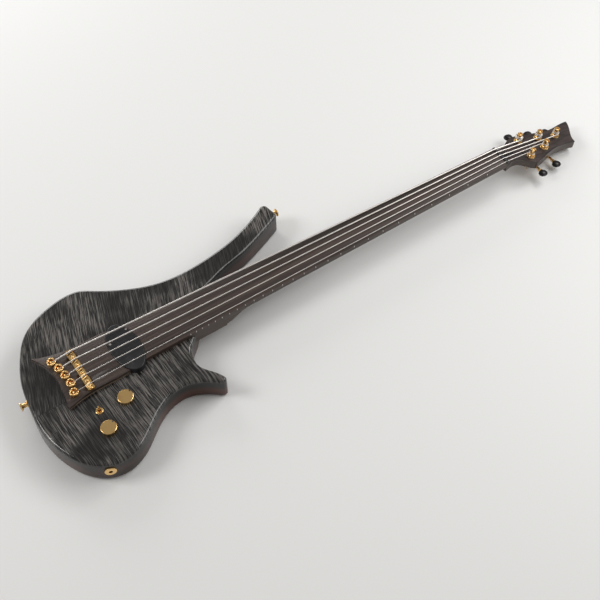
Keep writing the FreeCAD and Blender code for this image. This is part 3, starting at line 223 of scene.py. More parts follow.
def finish_piece(piece, name, body, material, smooth=35.0, replaces=()):
    """Name a finished piece, smooth it, give it its material and fix it to the frame."""
    piece.name = name
    piece.data.name = name
    piece.data.materials.clear()
    piece.data.materials.append(material)
    for polygon in piece.data.polygons:
        polygon.material_index = 0
    select_only(piece)
    bpy.ops.object.transform_apply(location=True, rotation=True, scale=True)
    bpy.ops.object.shade_smooth_by_angle(angle=radians(smooth))
    weighting = piece.modifiers.new("Flat faces stay flat", "WEIGHTED_NORMAL")
    weighting.mode = "FACE_AREA"
    weighting.weight = 50
    weighting.keep_sharp = True
    bpy.ops.object.modifier_apply(modifier=weighting.name)
    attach(piece, body)
    if replaces:
        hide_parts(*replaces)
    return piece


def finished_copy(node, material, smooth=35.0):
    """Copy of a part's own shape, its points and flat faces merged, so that round faces shade smoothly."""
    source = frame["nodes"][node]
    select_only(source)
    bpy.ops.object.duplicate()
    copy = bpy.context.view_layer.objects.active
    for key in list(copy.keys()):
        if key.startswith("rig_"):
            del copy[key]
    copy.parent = None
    copy.matrix_world = Matrix.Identity(4)
    bpy.ops.object.mode_set(mode="EDIT")
    bpy.ops.mesh.select_all(action="SELECT")
    bpy.ops.mesh.remove_doubles(threshold=MERGE_DISTANCE)
    bpy.ops.mesh.dissolve_limited(angle_limit=radians(FLAT_ANGLE))
    bpy.ops.object.mode_set(mode="OBJECT")
    return finish_piece(copy, f"{node}.finished", BODY_OF_NODE[node], material, smooth,
                        replaces=(node,))


# ---------------------------------------------------------------- shader helpers
def group_tree(name, inputs, outputs):
    """Node group made once, with named inputs and outputs."""
    tree = bpy.data.node_groups.new(name, "ShaderNodeTree")
    for label, kind, value in inputs:
        socket = tree.interface.new_socket(label, in_out="INPUT", socket_type=kind)
        if value is not None:
            socket.default_value = value
    for label, kind in outputs:
        tree.interface.new_socket(label, in_out="OUTPUT", socket_type=kind)
    return tree, tree.nodes.new("NodeGroupInput").outputs, tree.nodes.new("NodeGroupOutput").inputs


def node(tree, kind, **settings):
    made = tree.nodes.new(kind)
    for key, value in settings.items():
        setattr(made, key, value)
    return made


def put(tree, value, socket):
    """Link a socket, or set a plain value."""
    if isinstance(value, bpy.types.NodeSocket):
        tree.links.new(value, socket)
    else:
        socket.default_value = value


def math(tree, operation, a, b=0.0, clamp=False):
    made = node(tree, "ShaderNodeMath", operation=operation, use_clamp=clamp)
    put(tree, a, made.inputs[0])
    put(tree, b, made.inputs[1])
    return made.outputs[0]


def stretched(tree, vector, scale, location=(0.0, 0.0, 0.0), rotation=(0.0, 0.0, 0.0)):
    made = node(tree, "ShaderNodeMapping")
    put(tree, vector, made.inputs["Vector"])
    made.inputs["Scale"].default_value = scale
    made.inputs["Location"].default_value = location
    made.inputs["Rotation"].default_value = rotation
    return made.outputs["Vector"]


def noise(tree, vector, scale=1.0, detail=2.0, roughness=0.5, distortion=0.0):
    made = node(tree, "ShaderNodeTexNoise")
    put(tree, vector, made.inputs["Vector"])
    made.inputs["Scale"].default_value = scale
    made.inputs["Detail"].default_value = detail
    made.inputs["Roughness"].default_value = roughness
    made.inputs["Distortion"].default_value = distortion
    return made.outputs["Fac"]


def ramp(tree, value, low, high, low_out=0.0, high_out=1.0):
    made = node(tree, "ShaderNodeMapRange", interpolation_type="SMOOTHSTEP")
    put(tree, value, made.inputs["Value"])
    for label, number in (("From Min", low), ("From Max", high), ("To Min", low_out), ("To Max", high_out)):
        made.inputs[label].default_value = number
    return made.outputs["Result"]


def mix(tree, factor, a, b):
    made = node(tree, "ShaderNodeMix", data_type="RGBA")
    put(tree, factor, made.inputs["Factor"])
    put(tree, a, made.inputs["A"])
    put(tree, b, made.inputs["B"])
    return made.outputs["Result"]


def bump(tree, height, strength, distance):
    made = node(tree, "ShaderNodeBump")
    made.inputs["Strength"].default_value = strength
    made.inputs["Distance"].default_value = distance
    put(tree, height, made.inputs["Height"])
    return made.outputs["Normal"]


def new_material(name):
    """Material with its Principled shader, and the object's own coordinates to work from."""
    made = bpy.data.materials.new(name)
    made.use_nodes = True
    tree = made.node_tree
    shader = tree.nodes["Principled BSDF"]
    place = tree.nodes.new("ShaderNodeTexCoord").outputs["Object"]
    return made, tree, shader, place


def use_group(tree, group, **values):
    made = node(tree, "ShaderNodeGroup", node_tree=group)
    for label, value in values.items():
        put(tree, value, made.inputs[label.replace("_", " ")])
    return made.outputs


def axes(tree, vector):
    """X, Y and Z of a vector, as sockets."""
    split = node(tree, "ShaderNodeSeparateXYZ")
    put(tree, vector, split.inputs[0])
    return split.outputs


def handled(tree, shader, groups, place, base, amount):
    """Give the shader its handling marks, and return them for the colour to use."""
    marks = use_group(tree, groups["handling"], Vector=place, Base=base, Amount=amount)
    put(tree, marks["Roughness"], shader.inputs["Roughness"])
    return marks


# ---------------------------------------------------------------- shared effects
def flame_group():
    """Rippled figure of a two-piece top: stripes across the body, leaning differently beside the seam."""
    tree, given, out = group_tree(
        "Flame Figure",
        [("Vector", "NodeSocketVector", None), ("Light", "NodeSocketColor", (0.1, 0.1, 0.1, 1)),
         ("Dark", "NodeSocketColor", (0.01, 0.01, 0.01, 1)), ("Pitch", "NodeSocketFloat", 0.0022),
         ("Length", "NodeSocketFloat", 0.028), ("Seam", "NodeSocketFloat", -0.037)],
        [("Colour", "NodeSocketColor"), ("Height", "NodeSocketFloat")])
    along = axes(tree, given["Vector"])
    upper = math(tree, "GREATER_THAN", along["Y"], given["Seam"])
    lean = math(tree, "SUBTRACT", 0.06, math(tree, "MULTIPLY", upper, 0.38))
    curl = noise(tree, given["Vector"], 11.0, 2.0, 0.5)
    bend = math(tree, "MULTIPLY", math(tree, "SUBTRACT", curl, 0.5), 0.009)
    leaning = math(tree, "MULTIPLY", along["Y"], lean)
    across = math(tree, "ADD", math(tree, "ADD", along["X"], leaning), bend)
    joined = node(tree, "ShaderNodeCombineXYZ")
    put(tree, math(tree, "DIVIDE", math(tree, "MULTIPLY", across, 2.0), given["Pitch"]), joined.inputs["X"])
    put(tree, math(tree, "DIVIDE", along["Y"], given["Length"]), joined.inputs["Y"])
    depth = math(tree, "MULTIPLY", along["Z"], 12.0)
    put(tree, math(tree, "ADD", depth, math(tree, "MULTIPLY", upper, 5.0)), joined.inputs["Z"])
    broad = noise(tree, joined.outputs[0], 0.8, 1.0, 0.4)
    fine = noise(tree, stretched(tree, joined.outputs[0], (2.2, 1.7, 1.0), (7.0, 3.0, 1.0)), 0.9, 1.0, 0.5)
    stripe = math(tree, "ADD", math(tree, "MULTIPLY", ramp(tree, broad, 0.49, 0.6), 0.66),
                  math(tree, "MULTIPLY", ramp(tree, fine, 0.48, 0.6), 0.34))
    patches = ramp(tree, noise(tree, given["Vector"], 15.0, 2.0, 0.5), 0.36, 0.64, 0.16, 1.0)
    pores = noise(tree, stretched(tree, given["Vector"], (35.0, 900.0, 900.0)), 1.0, 2.0, 0.55)
    grain = ramp(tree, pores, 0.35, 0.6, 0.78, 1.0)
    from_seam = math(tree, "ABSOLUTE", math(tree, "SUBTRACT", along["Y"], given["Seam"]))
    glue = ramp(tree, from_seam, 0.0002, 0.0007, 0.25, 1.0)
    shade = math(tree, "MULTIPLY", math(tree, "MULTIPLY", stripe, patches),
                 math(tree, "MULTIPLY", grain, glue))
    put(tree, mix(tree, shade, given["Dark"], given["Light"]), out["Colour"])
    put(tree, grain, out["Height"])
    return tree


def grain_group():
    """Straight-grained wood along X: slow colour bands, dark pores and a height for them."""
    tree, given, out = group_tree(
        "Straight Grain",
        [("Vector", "NodeSocketVector", None), ("Light", "NodeSocketColor", (0.2, 0.1, 0.05, 1)),
         ("Dark", "NodeSocketColor", (0.05, 0.02, 0.01, 1)), ("Band Width", "NodeSocketFloat", 0.012),
         ("Pore Length", "NodeSocketFloat", 0.02)],
        [("Colour", "NodeSocketColor"), ("Height", "NodeSocketFloat")])
    along = axes(tree, given["Vector"])
    band_place = node(tree, "ShaderNodeCombineXYZ")
    put(tree, math(tree, "MULTIPLY", along["X"], 2.6), band_place.inputs["X"])
    put(tree, math(tree, "DIVIDE", along["Y"], given["Band Width"]), band_place.inputs["Y"])
    put(tree, math(tree, "DIVIDE", along["Z"], given["Band Width"]), band_place.inputs["Z"])
    bands = noise(tree, band_place.outputs[0], 0.8, 4.0, 0.6, 0.35)
    pore_place = node(tree, "ShaderNodeCombineXYZ")
    put(tree, math(tree, "DIVIDE", along["X"], given["Pore Length"]), pore_place.inputs["X"])
    put(tree, math(tree, "MULTIPLY", along["Y"], 1500.0), pore_place.inputs["Y"])
    put(tree, math(tree, "MULTIPLY", along["Z"], 1500.0), pore_place.inputs["Z"])
    pores = ramp(tree, noise(tree, pore_place.outputs[0], 1.0, 2.0, 0.6), 0.36, 0.5)
    pore_tone = math(tree, "ADD", math(tree, "MULTIPLY", pores, 0.4), 0.6)
    tone = math(tree, "MULTIPLY", ramp(tree, bands, 0.3, 0.72), pore_tone)
    put(tree, mix(tree, tone, given["Dark"], given["Light"]), out["Colour"])
    put(tree, pores, out["Height"])
    return tree


def handling_group():
    """Faint smears and hairlines that polished and lacquered faces pick up, as a change of roughness."""
    tree, given, out = group_tree(
        "Handling Marks",
        [("Vector", "NodeSocketVector", None), ("Base", "NodeSocketFloat", 0.2),
         ("Amount", "NodeSocketFloat", 0.1)],
        [("Roughness", "NodeSocketFloat"), ("Mask", "NodeSocketFloat")])
    smears = ramp(tree, noise(tree, given["Vector"], 26.0, 3.0, 0.6, 0.6), 0.45, 0.75)
    hair_place = stretched(tree, given["Vector"], (1400.0, 60.0, 200.0), rotation=(0, 0, 0.5))
    hair = ramp(tree, noise(tree, hair_place, 1.0, 1.0), 0.66, 0.78)
    mask = math(tree, "ADD", math(tree, "MULTIPLY", smears, 0.7), math(tree, "MULTIPLY", hair, 0.3), True)
    roughened = math(tree, "MULTIPLY", mask, given["Amount"])
    put(tree, math(tree, "ADD", given["Base"], roughened), out["Roughness"])
    put(tree, mask, out["Mask"])
    return tree


# ---------------------------------------------------------------- materials
def lacquer(shader, coat=1.0, coat_roughness=0.09):
    """Clear coat over the wood, which itself hardly shines."""
    shader.inputs["Specular IOR Level"].default_value = 0.1
    shader.inputs["Coat Weight"].default_value = coat
    shader.inputs["Coat Roughness"].default_value = coat_roughness
    shader.inputs["Coat IOR"].default_value = 1.5


def figured_top_material(groups, wood):
    """Black-stained flamed maple under gloss, darker round the edge, with a glue line down the seam."""
    made, tree, shader, place = new_material("Figured Top")
    figure = use_group(tree, groups["flame"], Vector=place, Light=wood.top_light, Dark=wood.top_dark,
                       Pitch=wood.flame_pitch, Length=wood.flame_length, Seam=wood.seam)
    low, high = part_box("body_top")
    along = axes(tree, place)
    drop = ramp(tree, along["Z"], low.z - 0.001, high.z - 0.0008, 0.25, 1.0)
    put(tree, mix(tree, drop, wood.top_dark, figure["Colour"]), shader.inputs["Base Color"])
    handled(tree, shader, groups, place, 0.34, 0.08)
    put(tree, bump(tree, figure["Height"], 0.05, 0.0002), shader.inputs["Normal"])
    lacquer(shader)
    return made


def body_core_material(groups, wood):
    """Dark mahogany sides and back that fade to black under the top."""
    made, tree, shader, place = new_material("Body Core")
    grain = use_group(tree, groups["grain"], Vector=place, Light=wood.core_brown, Dark=wood.core_black,
                      Band_Width=0.03, Pore_Length=0.012)
    low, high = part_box("body_core")
    along = axes(tree, place)
    patch = math(tree, "MULTIPLY", math(tree, "SUBTRACT", noise(tree, place, 6.0, 2.0), 0.5), 0.03)
    level = math(tree, "ADD", along["Z"], patch)
    burst = ramp(tree, level, low.z + 0.018, high.z - 0.004)
    put(tree, mix(tree, burst, grain["Colour"], wood.core_black), shader.inputs["Base Color"])
    handled(tree, shader, groups, place, 0.36, 0.1)
    put(tree, bump(tree, grain["Height"], 0.06, 0.0002), shader.inputs["Normal"])
    lacquer(shader, 0.7, 0.2)
    return made


def board_material(groups, wood):
    """Dark open-pored board, left bare of lacquer."""
    made, tree, shader, place = new_material("Board Wood")
    grain = use_group(tree, groups["grain"], Vector=place, Light=wood.board_light, Dark=wood.board_dark,
                      Band_Width=0.008, Pore_Length=0.014)
    put(tree, grain["Colour"], shader.inputs["Base Color"])
    handled(tree, shader, groups, place, 0.42, 0.12)
    put(tree, bump(tree, grain["Height"], 0.25, 0.0002), shader.inputs["Normal"])
    return made


def neck_material(groups, wood):
    """Dark neck with two pale laminates along it, satin all over."""
    made, tree, shader, place = new_material("Neck Wood")
    grain = use_group(tree, groups["grain"], Vector=place, Light=wood.neck_light, Dark=wood.neck_dark,
                      Band_Width=0.012, Pore_Length=0.03)
    along = axes(tree, place)
    beside = math(tree, "SUBTRACT", math(tree, "ABSOLUTE", along["Y"]), LAMINATE_PLACE)
    away = math(tree, "ABSOLUTE", beside)
    line = math(tree, "SUBTRACT", 1.0, ramp(tree, away, LAMINATE_INNER, LAMINATE_OUTER))
    put(tree, mix(tree, line, grain["Colour"], wood.maple), shader.inputs["Base Color"])
    handled(tree, shader, groups, place, 0.33, 0.12)
    put(tree, bump(tree, grain["Height"], 0.12, 0.0002), shader.inputs["Normal"])
    shader.inputs["Coat Weight"].default_value = 0.25
    shader.inputs["Coat Roughness"].default_value = 0.25
    return made


def plain_wood_material(groups, name, light, dark, roughness=0.35, coat=0.0):
    """Straight-grained wood in two colours, with or without lacquer."""
    made, tree, shader, place = new_material(name)
    grain = use_group(tree, groups["grain"], Vector=place, Light=light, Dark=dark, Band_Width=0.006,
                      Pore_Length=0.01)
    put(tree, grain["Colour"], shader.inputs["Base Color"])
    handled(tree, shader, groups, place, roughness, 0.1)
    put(tree, bump(tree, grain["Height"], 0.15, 0.0001), shader.inputs["Normal"])
    if coat:
        lacquer(shader, coat, 0.2)
    return made


def metal_material(groups, name, colour, roughness, amount=0.1):
    """Polished metal that is duller where it is handled."""
    made, tree, shader, place = new_material(name)
    shader.inputs["Metallic"].default_value = 1.0
    marks = handled(tree, shader, groups, place, roughness, amount)
    dull_and_groove_shade = (colour[0] * 0.72, colour[1] * 0.66, colour[2] * 0.6, 1.0)
    put(tree, mix(tree, marks["Mask"], tuple(colour), dull_and_groove_shade), shader.inputs["Base Color"])
    return made


def string_material(groups, hardware):
    """Round-wound steel: the wrap wire shows as fine rings across the string, with painted shade darkening
    the steel in the grooves between the wraps.
    """
    made, tree, shader, place = new_material("Wound String")
    shader.inputs["Metallic"].default_value = 1.0
    rings = node(tree, "ShaderNodeTexWave", wave_type="BANDS", bands_direction="X", wave_profile="SIN")
    put(tree, place, rings.inputs["Vector"])
    rings.inputs["Scale"].default_value = 2 * pi / (20 * hardware.winding_pitch)
    # Painted shade: the steel is darker in the grooves between the wraps, where the rings' bump is low.
    dull_and_groove_shade = tuple(c * 0.72 for c in hardware.steel[:3]) + (1.0,)
    put(tree, mix(tree, rings.outputs["Fac"], dull_and_groove_shade, tuple(hardware.steel)), shader.inputs["Base Color"])
    put(tree, bump(tree, rings.outputs["Fac"], 0.25, 0.0001), shader.inputs["Normal"])
    handled(tree, shader, groups, place, 0.38, 0.12)
    return made


def plastic_material(groups, name, colour, roughness):
    """Fine-textured plastic, a little paler where it is worn."""
    made, tree, shader, place = new_material(name)
    marks = handled(tree, shader, groups, place, roughness, 0.15)
    worn = tuple(min(1.0, c * 1.8 + 0.004) for c in colour[:3]) + (1.0,)
    put(tree, mix(tree, marks["Mask"], tuple(colour), worn), shader.inputs["Base Color"])
    texture = noise(tree, place, 2600.0, 1.0)
    put(tree, bump(tree, texture, 0.12, 0.0001), shader.inputs["Normal"])
    return made


MATERIALS = {}


def materials():
    """All finishes, made once."""
    if MATERIALS:
        return MATERIALS
    wood = bpy.context.scene.bass_wood
    metal = bpy.context.scene.bass_hardware
    groups = {"flame": flame_group(), "grain": grain_group(), "handling": handling_group()}
    saddle_gold = tuple(c * 0.42 for c in metal.gold[:3]) + (1.0,)
    MATERIALS.update({
        "top": figured_top_material(groups, wood),
        "core": body_core_material(groups, wood),
        "board": board_material(groups, wood),
        "neck": neck_material(groups, wood),
        "riser": plain_wood_material(groups, "Maple Riser", wood.maple, wood.neck_light),
        "veneer": plain_wood_material(groups, "Head Veneer", wood.veneer_light, wood.veneer_dark, 0.3, 0.5),
        "ebony": plain_wood_material(groups, "Ebony", wood.ebony, EBONY_DARK, 0.3, 0.3),
        "gold": metal_material(groups, "Gold Plate", metal.gold, 0.16),
        "saddle": metal_material(groups, "Saddle Gold", saddle_gold, 0.3, 0.12),
        "brass": metal_material(groups, "Ball End Brass", metal.brass, 0.3),
        "steel": metal_material(groups, "Bare Steel", metal.steel, 0.3),
        "copper": metal_material(groups, "Coil Wire", metal.copper, 0.35),
        "string": string_material(groups, metal),
        "black": plastic_material(groups, "Satin Black", metal.black, 0.38),
        "marker": plastic_material(groups, "Marker Inlay", metal.marker_colour, 0.4),
    })
    return MATERIALS


# ---------------------------------------------------------------- operators
class BassOperator:
    """What all the operators share."""
    bl_options = {"REGISTER"}


class BASS_OT_body(BassOperator, bpy.types.Operator):
    """Finish the body core, its figured top, the cavity cover and the ferrules"""
    bl_idname = "bass.body"
    bl_label = "Body"

    def execute(self, context):
        made = materials()
        finished_copy("body_top", made["top"], 32)
        finished_copy("body_core", made["core"], 32)
        finished_copy("cavity_cover", made["black"])
        finished_copy("neck_ferrules", made["gold"])
        finished_copy("small_screws", made["steel"])
        finished_copy("neck_screws", made["steel"])
        return {"FINISHED"}


class BASS_OT_neck(BassOperator, bpy.types.Operator):
    """Finish the neck, board, tail plate, nut, headstock face and rod cover"""
    bl_idname = "bass.neck"
    bl_label = "Neck and Board"

    def execute(self, context):
        made = materials()
        finished_copy("neck", made["neck"], 40)
        finished_copy("fingerboard", made["board"], 30)
        finished_copy("tail_plate", made["board"], 30)
        finished_copy("board_riser", made["riser"], 30)
        finished_copy("headstock_veneer", made["veneer"], 30)
        finished_copy("truss_cover", made["ebony"], 30)
        finished_copy("nut", made["black"], 30)
        finished_copy("truss_nut", made["steel"])
        finished_copy("truss_rod", made["steel"])
        return {"FINISHED"}


class BASS_OT_pickup(BassOperator, bpy.types.Operator):
    """Finish the pickup and what is under its cover"""
    bl_idname = "bass.pickup"
    bl_label = "Pickup"

    def execute(self, context):
        made = materials()
        finished_copy("pickup_cover", made["black"], 40)
        finished_copy("pickup_coils", made["copper"])
        finished_copy("pickup_magnets", made["steel"])
        finished_copy("pickup_baseplate", made["steel"])
        finished_copy("wiring", made["black"])
        return {"FINISHED"}


class BASS_OT_bridge(BassOperator, bpy.types.Operator):
    """Finish the bridge rail, saddles, lock screws and string anchors"""
    bl_idname = "bass.bridge"
    bl_label = "Bridge"

    def execute(self, context):
        gold = materials()["gold"]
        finished_copy("bridge_rail", gold, 32)
        finished_copy("rail_screws", gold, 60)
        finished_copy("string_anchors", gold, 32)
        self.add_crowns(context.scene.bass_hardware)
        for string in STRINGS:
            finished_copy(f"saddle_{string}", materials()["saddle"], 20)
        return {"FINISHED"}

    def add_crowns(self, metal):
        """A lobed rim on each anchor."""
        points = [vertex.co for vertex in frame["nodes"]["string_anchors"].data.vertices]
        for string in STRINGS:
            low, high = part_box(f"saddle_{string}")
            y = (low.y + high.y) / 2
            own = [co for co in points if abs(co.y - y) < metal.crown_radius + metal.crown_wire]
            x = (min(co.x for co in own) + max(co.x for co in own)) / 2
            crown = lobed_crown(metal.crown_radius, metal.crown_wire)
            crown.location = (x, y, max(co.z for co in own))
            finish_piece(crown, f"anchor_crown_{string}", BODY, materials()["gold"], 60)


class BASS_OT_strings(BassOperator, bpy.types.Operator):
    """Finish the five wound strings"""
    bl_idname = "bass.strings"
    bl_label = "Strings"

    def execute(self, context):
        ball_width = 2 * context.scene.bass_hardware.ball_radius
        for string in STRINGS:
            piece = finished_copy(f"string_{string}", materials()["string"], 60)
            piece.data.materials.append(materials()["brass"])
            ball_end = min(vertex.co.x for vertex in piece.data.vertices) + ball_width
            for polygon in piece.data.polygons:
                polygon.material_index = 1 if polygon.center.x < ball_end else 0
        return {"FINISHED"}


def slotted_screw(name, radius, height, place, outward, body, slot, slot_turn=0.0):
    """Pan-headed screw: a turned head with rounded rim and a cut slot, standing on place."""
    bpy.ops.mesh.primitive_cylinder_add(vertices=28, radius=radius, depth=height)
    head = bpy.context.active_object
    bpy.ops.object.mode_set(mode="EDIT")
    mesh = bmesh.from_edit_mesh(head.data)
    for face in mesh.faces:
        face.select_set(face.normal.z > 0.9)
    bmesh.update_edit_mesh(head.data)
    bpy.ops.mesh.inset(thickness=radius * 0.22)
    bpy.ops.transform.translate(value=(0, 0, height * 0.28))
    bpy.ops.mesh.inset(thickness=radius * 0.3)
    bpy.ops.transform.translate(value=(0, 0, height * 0.12))
    bpy.ops.object.mode_set(mode="OBJECT")
    bpy.ops.mesh.primitive_cube_add(size=1, location=(0, 0, height * 0.85), rotation=(0, 0, slot_turn),
                                    scale=(radius * 2.4, radius * 0.26, height * 0.7))
    cutter = bpy.context.active_object
    cut = head.modifiers.new("Slot", "BOOLEAN")
    cut.operation = "DIFFERENCE"
    cut.solver = "EXACT"
    cut.object = cutter
    select_only(head)
    bpy.ops.object.modifier_apply(modifier=cut.name)
    bpy.data.objects.remove(cutter)
    turn = Vector(outward).to_track_quat("Z", "Y").to_matrix().to_4x4()
    head.matrix_world = Matrix.Translation(Vector(place) + Vector(outward) * height / 2) @ turn
    return finish_piece(head, name, body, materials()[slot])


def select_points(piece, wanted):
    """In edit mode, select just the points for which wanted(place) is true."""
    bpy.ops.mesh.select_mode(type="VERT")
    bpy.ops.mesh.select_all(action="DESELECT")
    mesh = bmesh.from_edit_mesh(piece.data)
    for vertex in mesh.verts:
        vertex.select_set(wanted(vertex.co))
    mesh.select_flush_mode()
    bmesh.update_edit_mesh(piece.data)


def lobed_crown(radius, wire, lobes=6, gap=20.0):
    """Rim of a string anchor: a ring with swellings round it, open towards +X where the string leaves."""
    bpy.ops.mesh.primitive_torus_add(major_segments=72, minor_segments=12, major_radius=radius,
                                     minor_radius=wire)
    crown = bpy.context.active_object
    bpy.ops.object.mode_set(mode="EDIT")
    bpy.ops.transform.resize(value=(1, 1, 0.62), center_override=(0, 0, 0))
    step = 2 * pi / lobes
    for lobe in range(lobes):
        middle = Matrix.Rotation(step * (lobe + 0.5), 3, "Z") @ Vector((radius, 0, 0))
        select_points(crown, lambda co: (Vector((co.x, co.y, 0)) - middle).length < radius * 0.3)
        bpy.ops.transform.resize(value=(1.35, 1.35, 1.5), center_override=middle)
    opening = radians(gap)
    select_points(crown, lambda co: abs(Vector((co.x, co.y)).angle_signed(Vector((1, 0)))) < opening)
    bpy.ops.mesh.delete(type="VERT")
    bpy.ops.mesh.select_all(action="SELECT")
    bpy.ops.mesh.fill_holes(sides=0)
    bpy.ops.mesh.normals_make_consistent(inside=False)
    bpy.ops.object.mode_set(mode="OBJECT")
    return crown


def dished_mark(radius, depth):
    """Spot of dark filler that lies a little hollow in its hole."""
    bpy.ops.mesh.primitive_cylinder_add(vertices=32, radius=radius, depth=depth)
    mark = bpy.context.active_object
    bpy.ops.object.mode_set(mode="EDIT")
    select_points(mark, lambda co: co.z > 0)
    bpy.ops.mesh.select_mode(type="FACE")
    bpy.ops.mesh.inset(thickness=radius * 0.3)
    bpy.ops.transform.translate(value=(0, 0, -depth * 0.2))
    bpy.ops.mesh.inset(thickness=radius * 0.3)
    bpy.ops.transform.translate(value=(0, 0, -depth * 0.08))
    bpy.ops.object.mode_set(mode="OBJECT")
    return mark


def post_frame(string):
    """Frame of a post: its foot on the headstock's face, +Z along the post."""
    joint = JOINTS[f"post_turn_{string}"]
    axis = Vector(joint["axis"])
    across = Vector((0, 1, 0))
    along = across.cross(axis)
    turn = Matrix((along, across, axis)).transposed().to_4x4()
    return Matrix.Translation(Vector(joint["pos_m"])) @ turn


class BASS_OT_tuner_screws(BassOperator, bpy.types.Operator):
    """Add the screws that hold the machine heads' plates and worm wheels"""
    bl_idname = "bass.tuner_screws"
    bl_label = "Machine Head Screws"

    def execute(self, context):
        plate = frame["nodes"]["tuner_plates"]
        for number, string in enumerate(STRINGS):
            local = post_frame(string)
            away = local.to_3x3() @ Vector((0, 0, -1))
            inverse = local.inverted()
            near = [inverse @ v.co for v in plate.data.vertices if (inverse @ v.co).length < PLATE_REACH]
            flat = [co for co in near if abs(co.x) < PLATE_HALF_LENGTH]
            back = min(co.z for co in flat)
            low, high = min(co.y for co in flat), max(co.y for co in flat)
            for side, y in (("low", low + PLATE_SCREW_INSET), ("high", high - PLATE_SCREW_INSET)):
                place = local @ Vector((-PLATE_SCREW_BEHIND, y, back))
                slotted_screw(f"plate_screw_{string}_{side}", PLATE_SCREW_RADIUS, PLATE_SCREW_HEIGHT, place,
                              away, BODY, "gold", PLATE_SCREW_TURN * number)
            post = frame["nodes"][f"post_{string}"]
            foot = min((inverse @ v.co).z for v in post.data.vertices)
            slotted_screw(f"wheel_screw_{string}", WHEEL_SCREW_RADIUS, WHEEL_SCREW_HEIGHT,
                          local @ Vector((0, 0, foot)), away, f"tuner_post_{string}", "steel",
                          WHEEL_SCREW_TURN * number)
        return {"FINISHED"}


class BASS_OT_tuners(BassOperator, bpy.types.Operator):
    """Finish the machine heads"""
    bl_idname = "bass.tuners"
    bl_label = "Machine Heads"

    def execute(self, context):
        made = materials()
        for node_name in ("tuner_plates", "tuner_bushings"):
            finished_copy(node_name, made["gold"])
        for string in STRINGS:
            finished_copy(f"post_{string}", made["gold"])
            finished_copy(f"worm_{string}", made["gold"], 40)
            finished_copy(f"key_{string}", made["ebony"], 60)
        return {"FINISHED"}


class BASS_OT_controls(BassOperator, bpy.types.Operator):
    """Finish the knobs, toggle switch, jack and strap buttons"""
    bl_idname = "bass.controls"
    bl_label = "Controls"

    def execute(self, context):
        made = materials()
        for node_name in ("volume_knob", "tone_knob", "panel_nuts", "toggle_body", "toggle_lever",
                          "output_jack", "strap_buttons"):
            finished_copy(node_name, made["gold"])
        for node_name in ("volume_shaft", "tone_shaft", "pots"):
            finished_copy(node_name, made["steel"])
        for control in ("volume", "tone"):
            low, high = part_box(f"{control}_knob")
            reach = (high.x - low.x) / 2 - KNOB_MARK_INSET
            angle = radians(KNOB_MARK_ANGLE)
            mark = dished_mark(context.scene.bass_hardware.mark_radius, KNOB_MARK_DEPTH)
            mark.location = (low + high) / 2 + Vector((reach * cos(angle), reach * sin(angle), 0))
            mark.location.z = high.z - KNOB_MARK_DEPTH / 2 - KNOB_MARK_SUNK
            finish_piece(mark, f"{control}_mark", f"{control}_control", made["black"])
        return {"FINISHED"}


class BASS_OT_side_markers(BassOperator, bpy.types.Operator):
    """Inlay a thin line at every semitone on the board's edge"""
    bl_idname = "bass.side_markers"
    bl_label = "Side Markers"

    def execute(self, context):
        metal = context.scene.bass_hardware
        low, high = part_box("fingerboard")
        half_at_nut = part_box("nut")[1].y
        depth = (high.z - low.z) * MARKER_DEPTH_SHARE
        lines = []
        for semitone in range(1, metal.marker_count + 1):
            x = SCALE_LENGTH * 2 ** (-semitone / 12)
            share = (SCALE_LENGTH - x) / (SCALE_LENGTH - FLARE_X)
            edge = half_at_nut + (HALF_WIDTH_AT_FLARE - half_at_nut) * share
            crown = BOARD_RADIUS - (BOARD_RADIUS * BOARD_RADIUS - edge * edge) ** 0.5
            top = high.z - crown
            place = (x, -edge + MARKER_PROUD, top - depth / 2 + MARKER_PROUD)
            bpy.ops.mesh.primitive_cube_add(size=1, location=place,
                                            scale=(metal.marker_radius, MARKER_THICKNESS, depth))
            line = context.active_object
            bpy.ops.object.transform_apply(location=True, rotation=True, scale=True)
            bpy.ops.object.mode_set(mode="EDIT")
            bpy.ops.mesh.select_all(action="SELECT")
            bpy.ops.mesh.bevel(offset=MARKER_BEVEL, segments=2)
            bpy.ops.object.mode_set(mode="OBJECT")
            lines.append(line)
        select_only(*lines)
        bpy.ops.object.join()
        finish_piece(context.active_object, "side_markers", BODY, materials()["marker"])
        return {"FINISHED"}


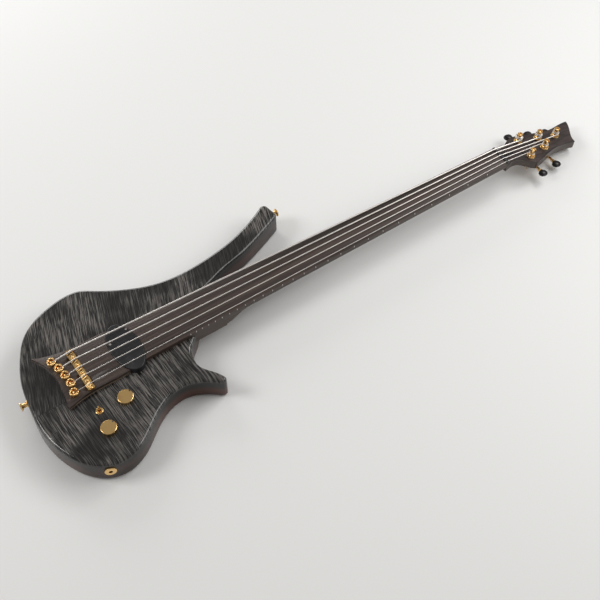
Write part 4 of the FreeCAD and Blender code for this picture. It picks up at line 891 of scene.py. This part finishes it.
class BASS_OT_stage(BassOperator, bpy.types.Operator):
    """Set the floor, the lights and the camera"""
    bl_idname = "bass.stage"
    bl_label = "Stage"

    def execute(self, context):
        stage = context.scene.bass_stage
        low, high = FRAME_BOX
        middle = (Vector(low) + Vector(high)) / 2
        bpy.ops.mesh.primitive_plane_add(size=30, location=(middle.x, middle.y, low[2] - 0.0002))
        floor = context.active_object
        floor.name = "floor"
        made, _, shader, _ = new_material("Floor")
        shader.inputs["Base Color"].default_value = stage.floor_colour
        shader.inputs["Roughness"].default_value = 0.7
        floor.data.materials.append(made)

        world = context.scene.world or bpy.data.worlds.new("World")
        context.scene.world = world
        world.use_nodes = True
        background = world.node_tree.nodes["Background"]
        background.inputs["Color"].default_value = SKY_COLOUR
        background.inputs["Strength"].default_value = stage.sky

        self.add_light("key", (-1.5, 0.9, 1.7), Vector((0.1, 0, 0)), 1.0, stage.key_power)
        self.add_light("fill", (1.75, -0.75, 1.3), Vector((0.1, -0.1, 0)), 1.2, stage.fill_power)
        self.add_light("rim", (0.35, 2.1, 0.8), Vector((0.2, 0, 0)), 1.0, stage.fill_power)
        self.add_light("head", (2.3, 0.4, 1.6), Vector((0.8, 0, 0)), 0.8, stage.fill_power)

        data = bpy.data.cameras.new("camera")
        data.lens = stage.lens
        data.sensor_width = 36.0
        camera = bpy.data.objects.new("camera", data)
        context.collection.objects.link(camera)
        right = Vector((0.8403, -0.5420, -0.0101))
        up = Vector((0.4386, 0.6689, 0.6002))
        back = Vector((-0.3186, -0.5087, 0.7998))
        turn = Matrix((right, up, back)).transposed().to_4x4()
        camera.matrix_world = Matrix.Translation(Vector(stage.camera_place)) @ turn
        context.scene.camera = camera
        context.scene.view_settings.view_transform = "Standard"
        return {"FINISHED"}

    def add_light(self, name, place, target, size, power):
        data = bpy.data.lights.new(name, "AREA")
        data.size = size
        data.energy = power
        light = bpy.data.objects.new(name, data)
        bpy.context.collection.objects.link(light)
        light.location = place
        light.rotation_euler = (Vector(target) - Vector(place)).to_track_quat("-Z", "Y").to_euler()


class BASS_PT_panel(bpy.types.Panel):
    """The operators in the 3D view's sidebar"""
    bl_label = "Fretless Bass"
    bl_idname = "BASS_PT_panel"
    bl_space_type = "VIEW_3D"
    bl_region_type = "UI"
    bl_category = "Bass"

    def draw(self, context):
        for operator in OPERATORS:
            self.layout.operator(operator.bl_idname)
        for settings in (context.scene.bass_wood, context.scene.bass_hardware, context.scene.bass_stage):
            box = self.layout.box()
            for name in settings.__annotations__:
                box.prop(settings, name)


OPERATORS = (BASS_OT_body, BASS_OT_neck, BASS_OT_side_markers, BASS_OT_pickup, BASS_OT_bridge,
             BASS_OT_strings, BASS_OT_tuners, BASS_OT_tuner_screws, BASS_OT_controls, BASS_OT_stage)
SETTINGS = (BassWoodSettings, BassHardwareSettings, BassStageSettings)


def register():
    for item in (*SETTINGS, *OPERATORS, BASS_PT_panel):
        bpy.utils.register_class(item)
    bpy.types.Scene.bass_wood = PointerProperty(type=BassWoodSettings)
    bpy.types.Scene.bass_hardware = PointerProperty(type=BassHardwareSettings)
    bpy.types.Scene.bass_stage = PointerProperty(type=BassStageSettings)


def unregister():
    del bpy.types.Scene.bass_wood
    del bpy.types.Scene.bass_hardware
    del bpy.types.Scene.bass_stage
    for item in reversed((*SETTINGS, *OPERATORS, BASS_PT_panel)):
        bpy.utils.unregister_class(item)


def main():
    register()
    for item in list(bpy.data.objects):
        if item.type in {"LIGHT", "CAMERA"} or item.name == "Cube":
            bpy.data.objects.remove(item)
    bpy.ops.bass.stage()
    bpy.ops.bass.body()
    bpy.ops.bass.neck()
    bpy.ops.bass.side_markers()
    bpy.ops.bass.pickup()
    bpy.ops.bass.bridge()
    bpy.ops.bass.strings()
    bpy.ops.bass.tuners()
    bpy.ops.bass.tuner_screws()
    bpy.ops.bass.controls()


if __name__ == "__main__":
    main()
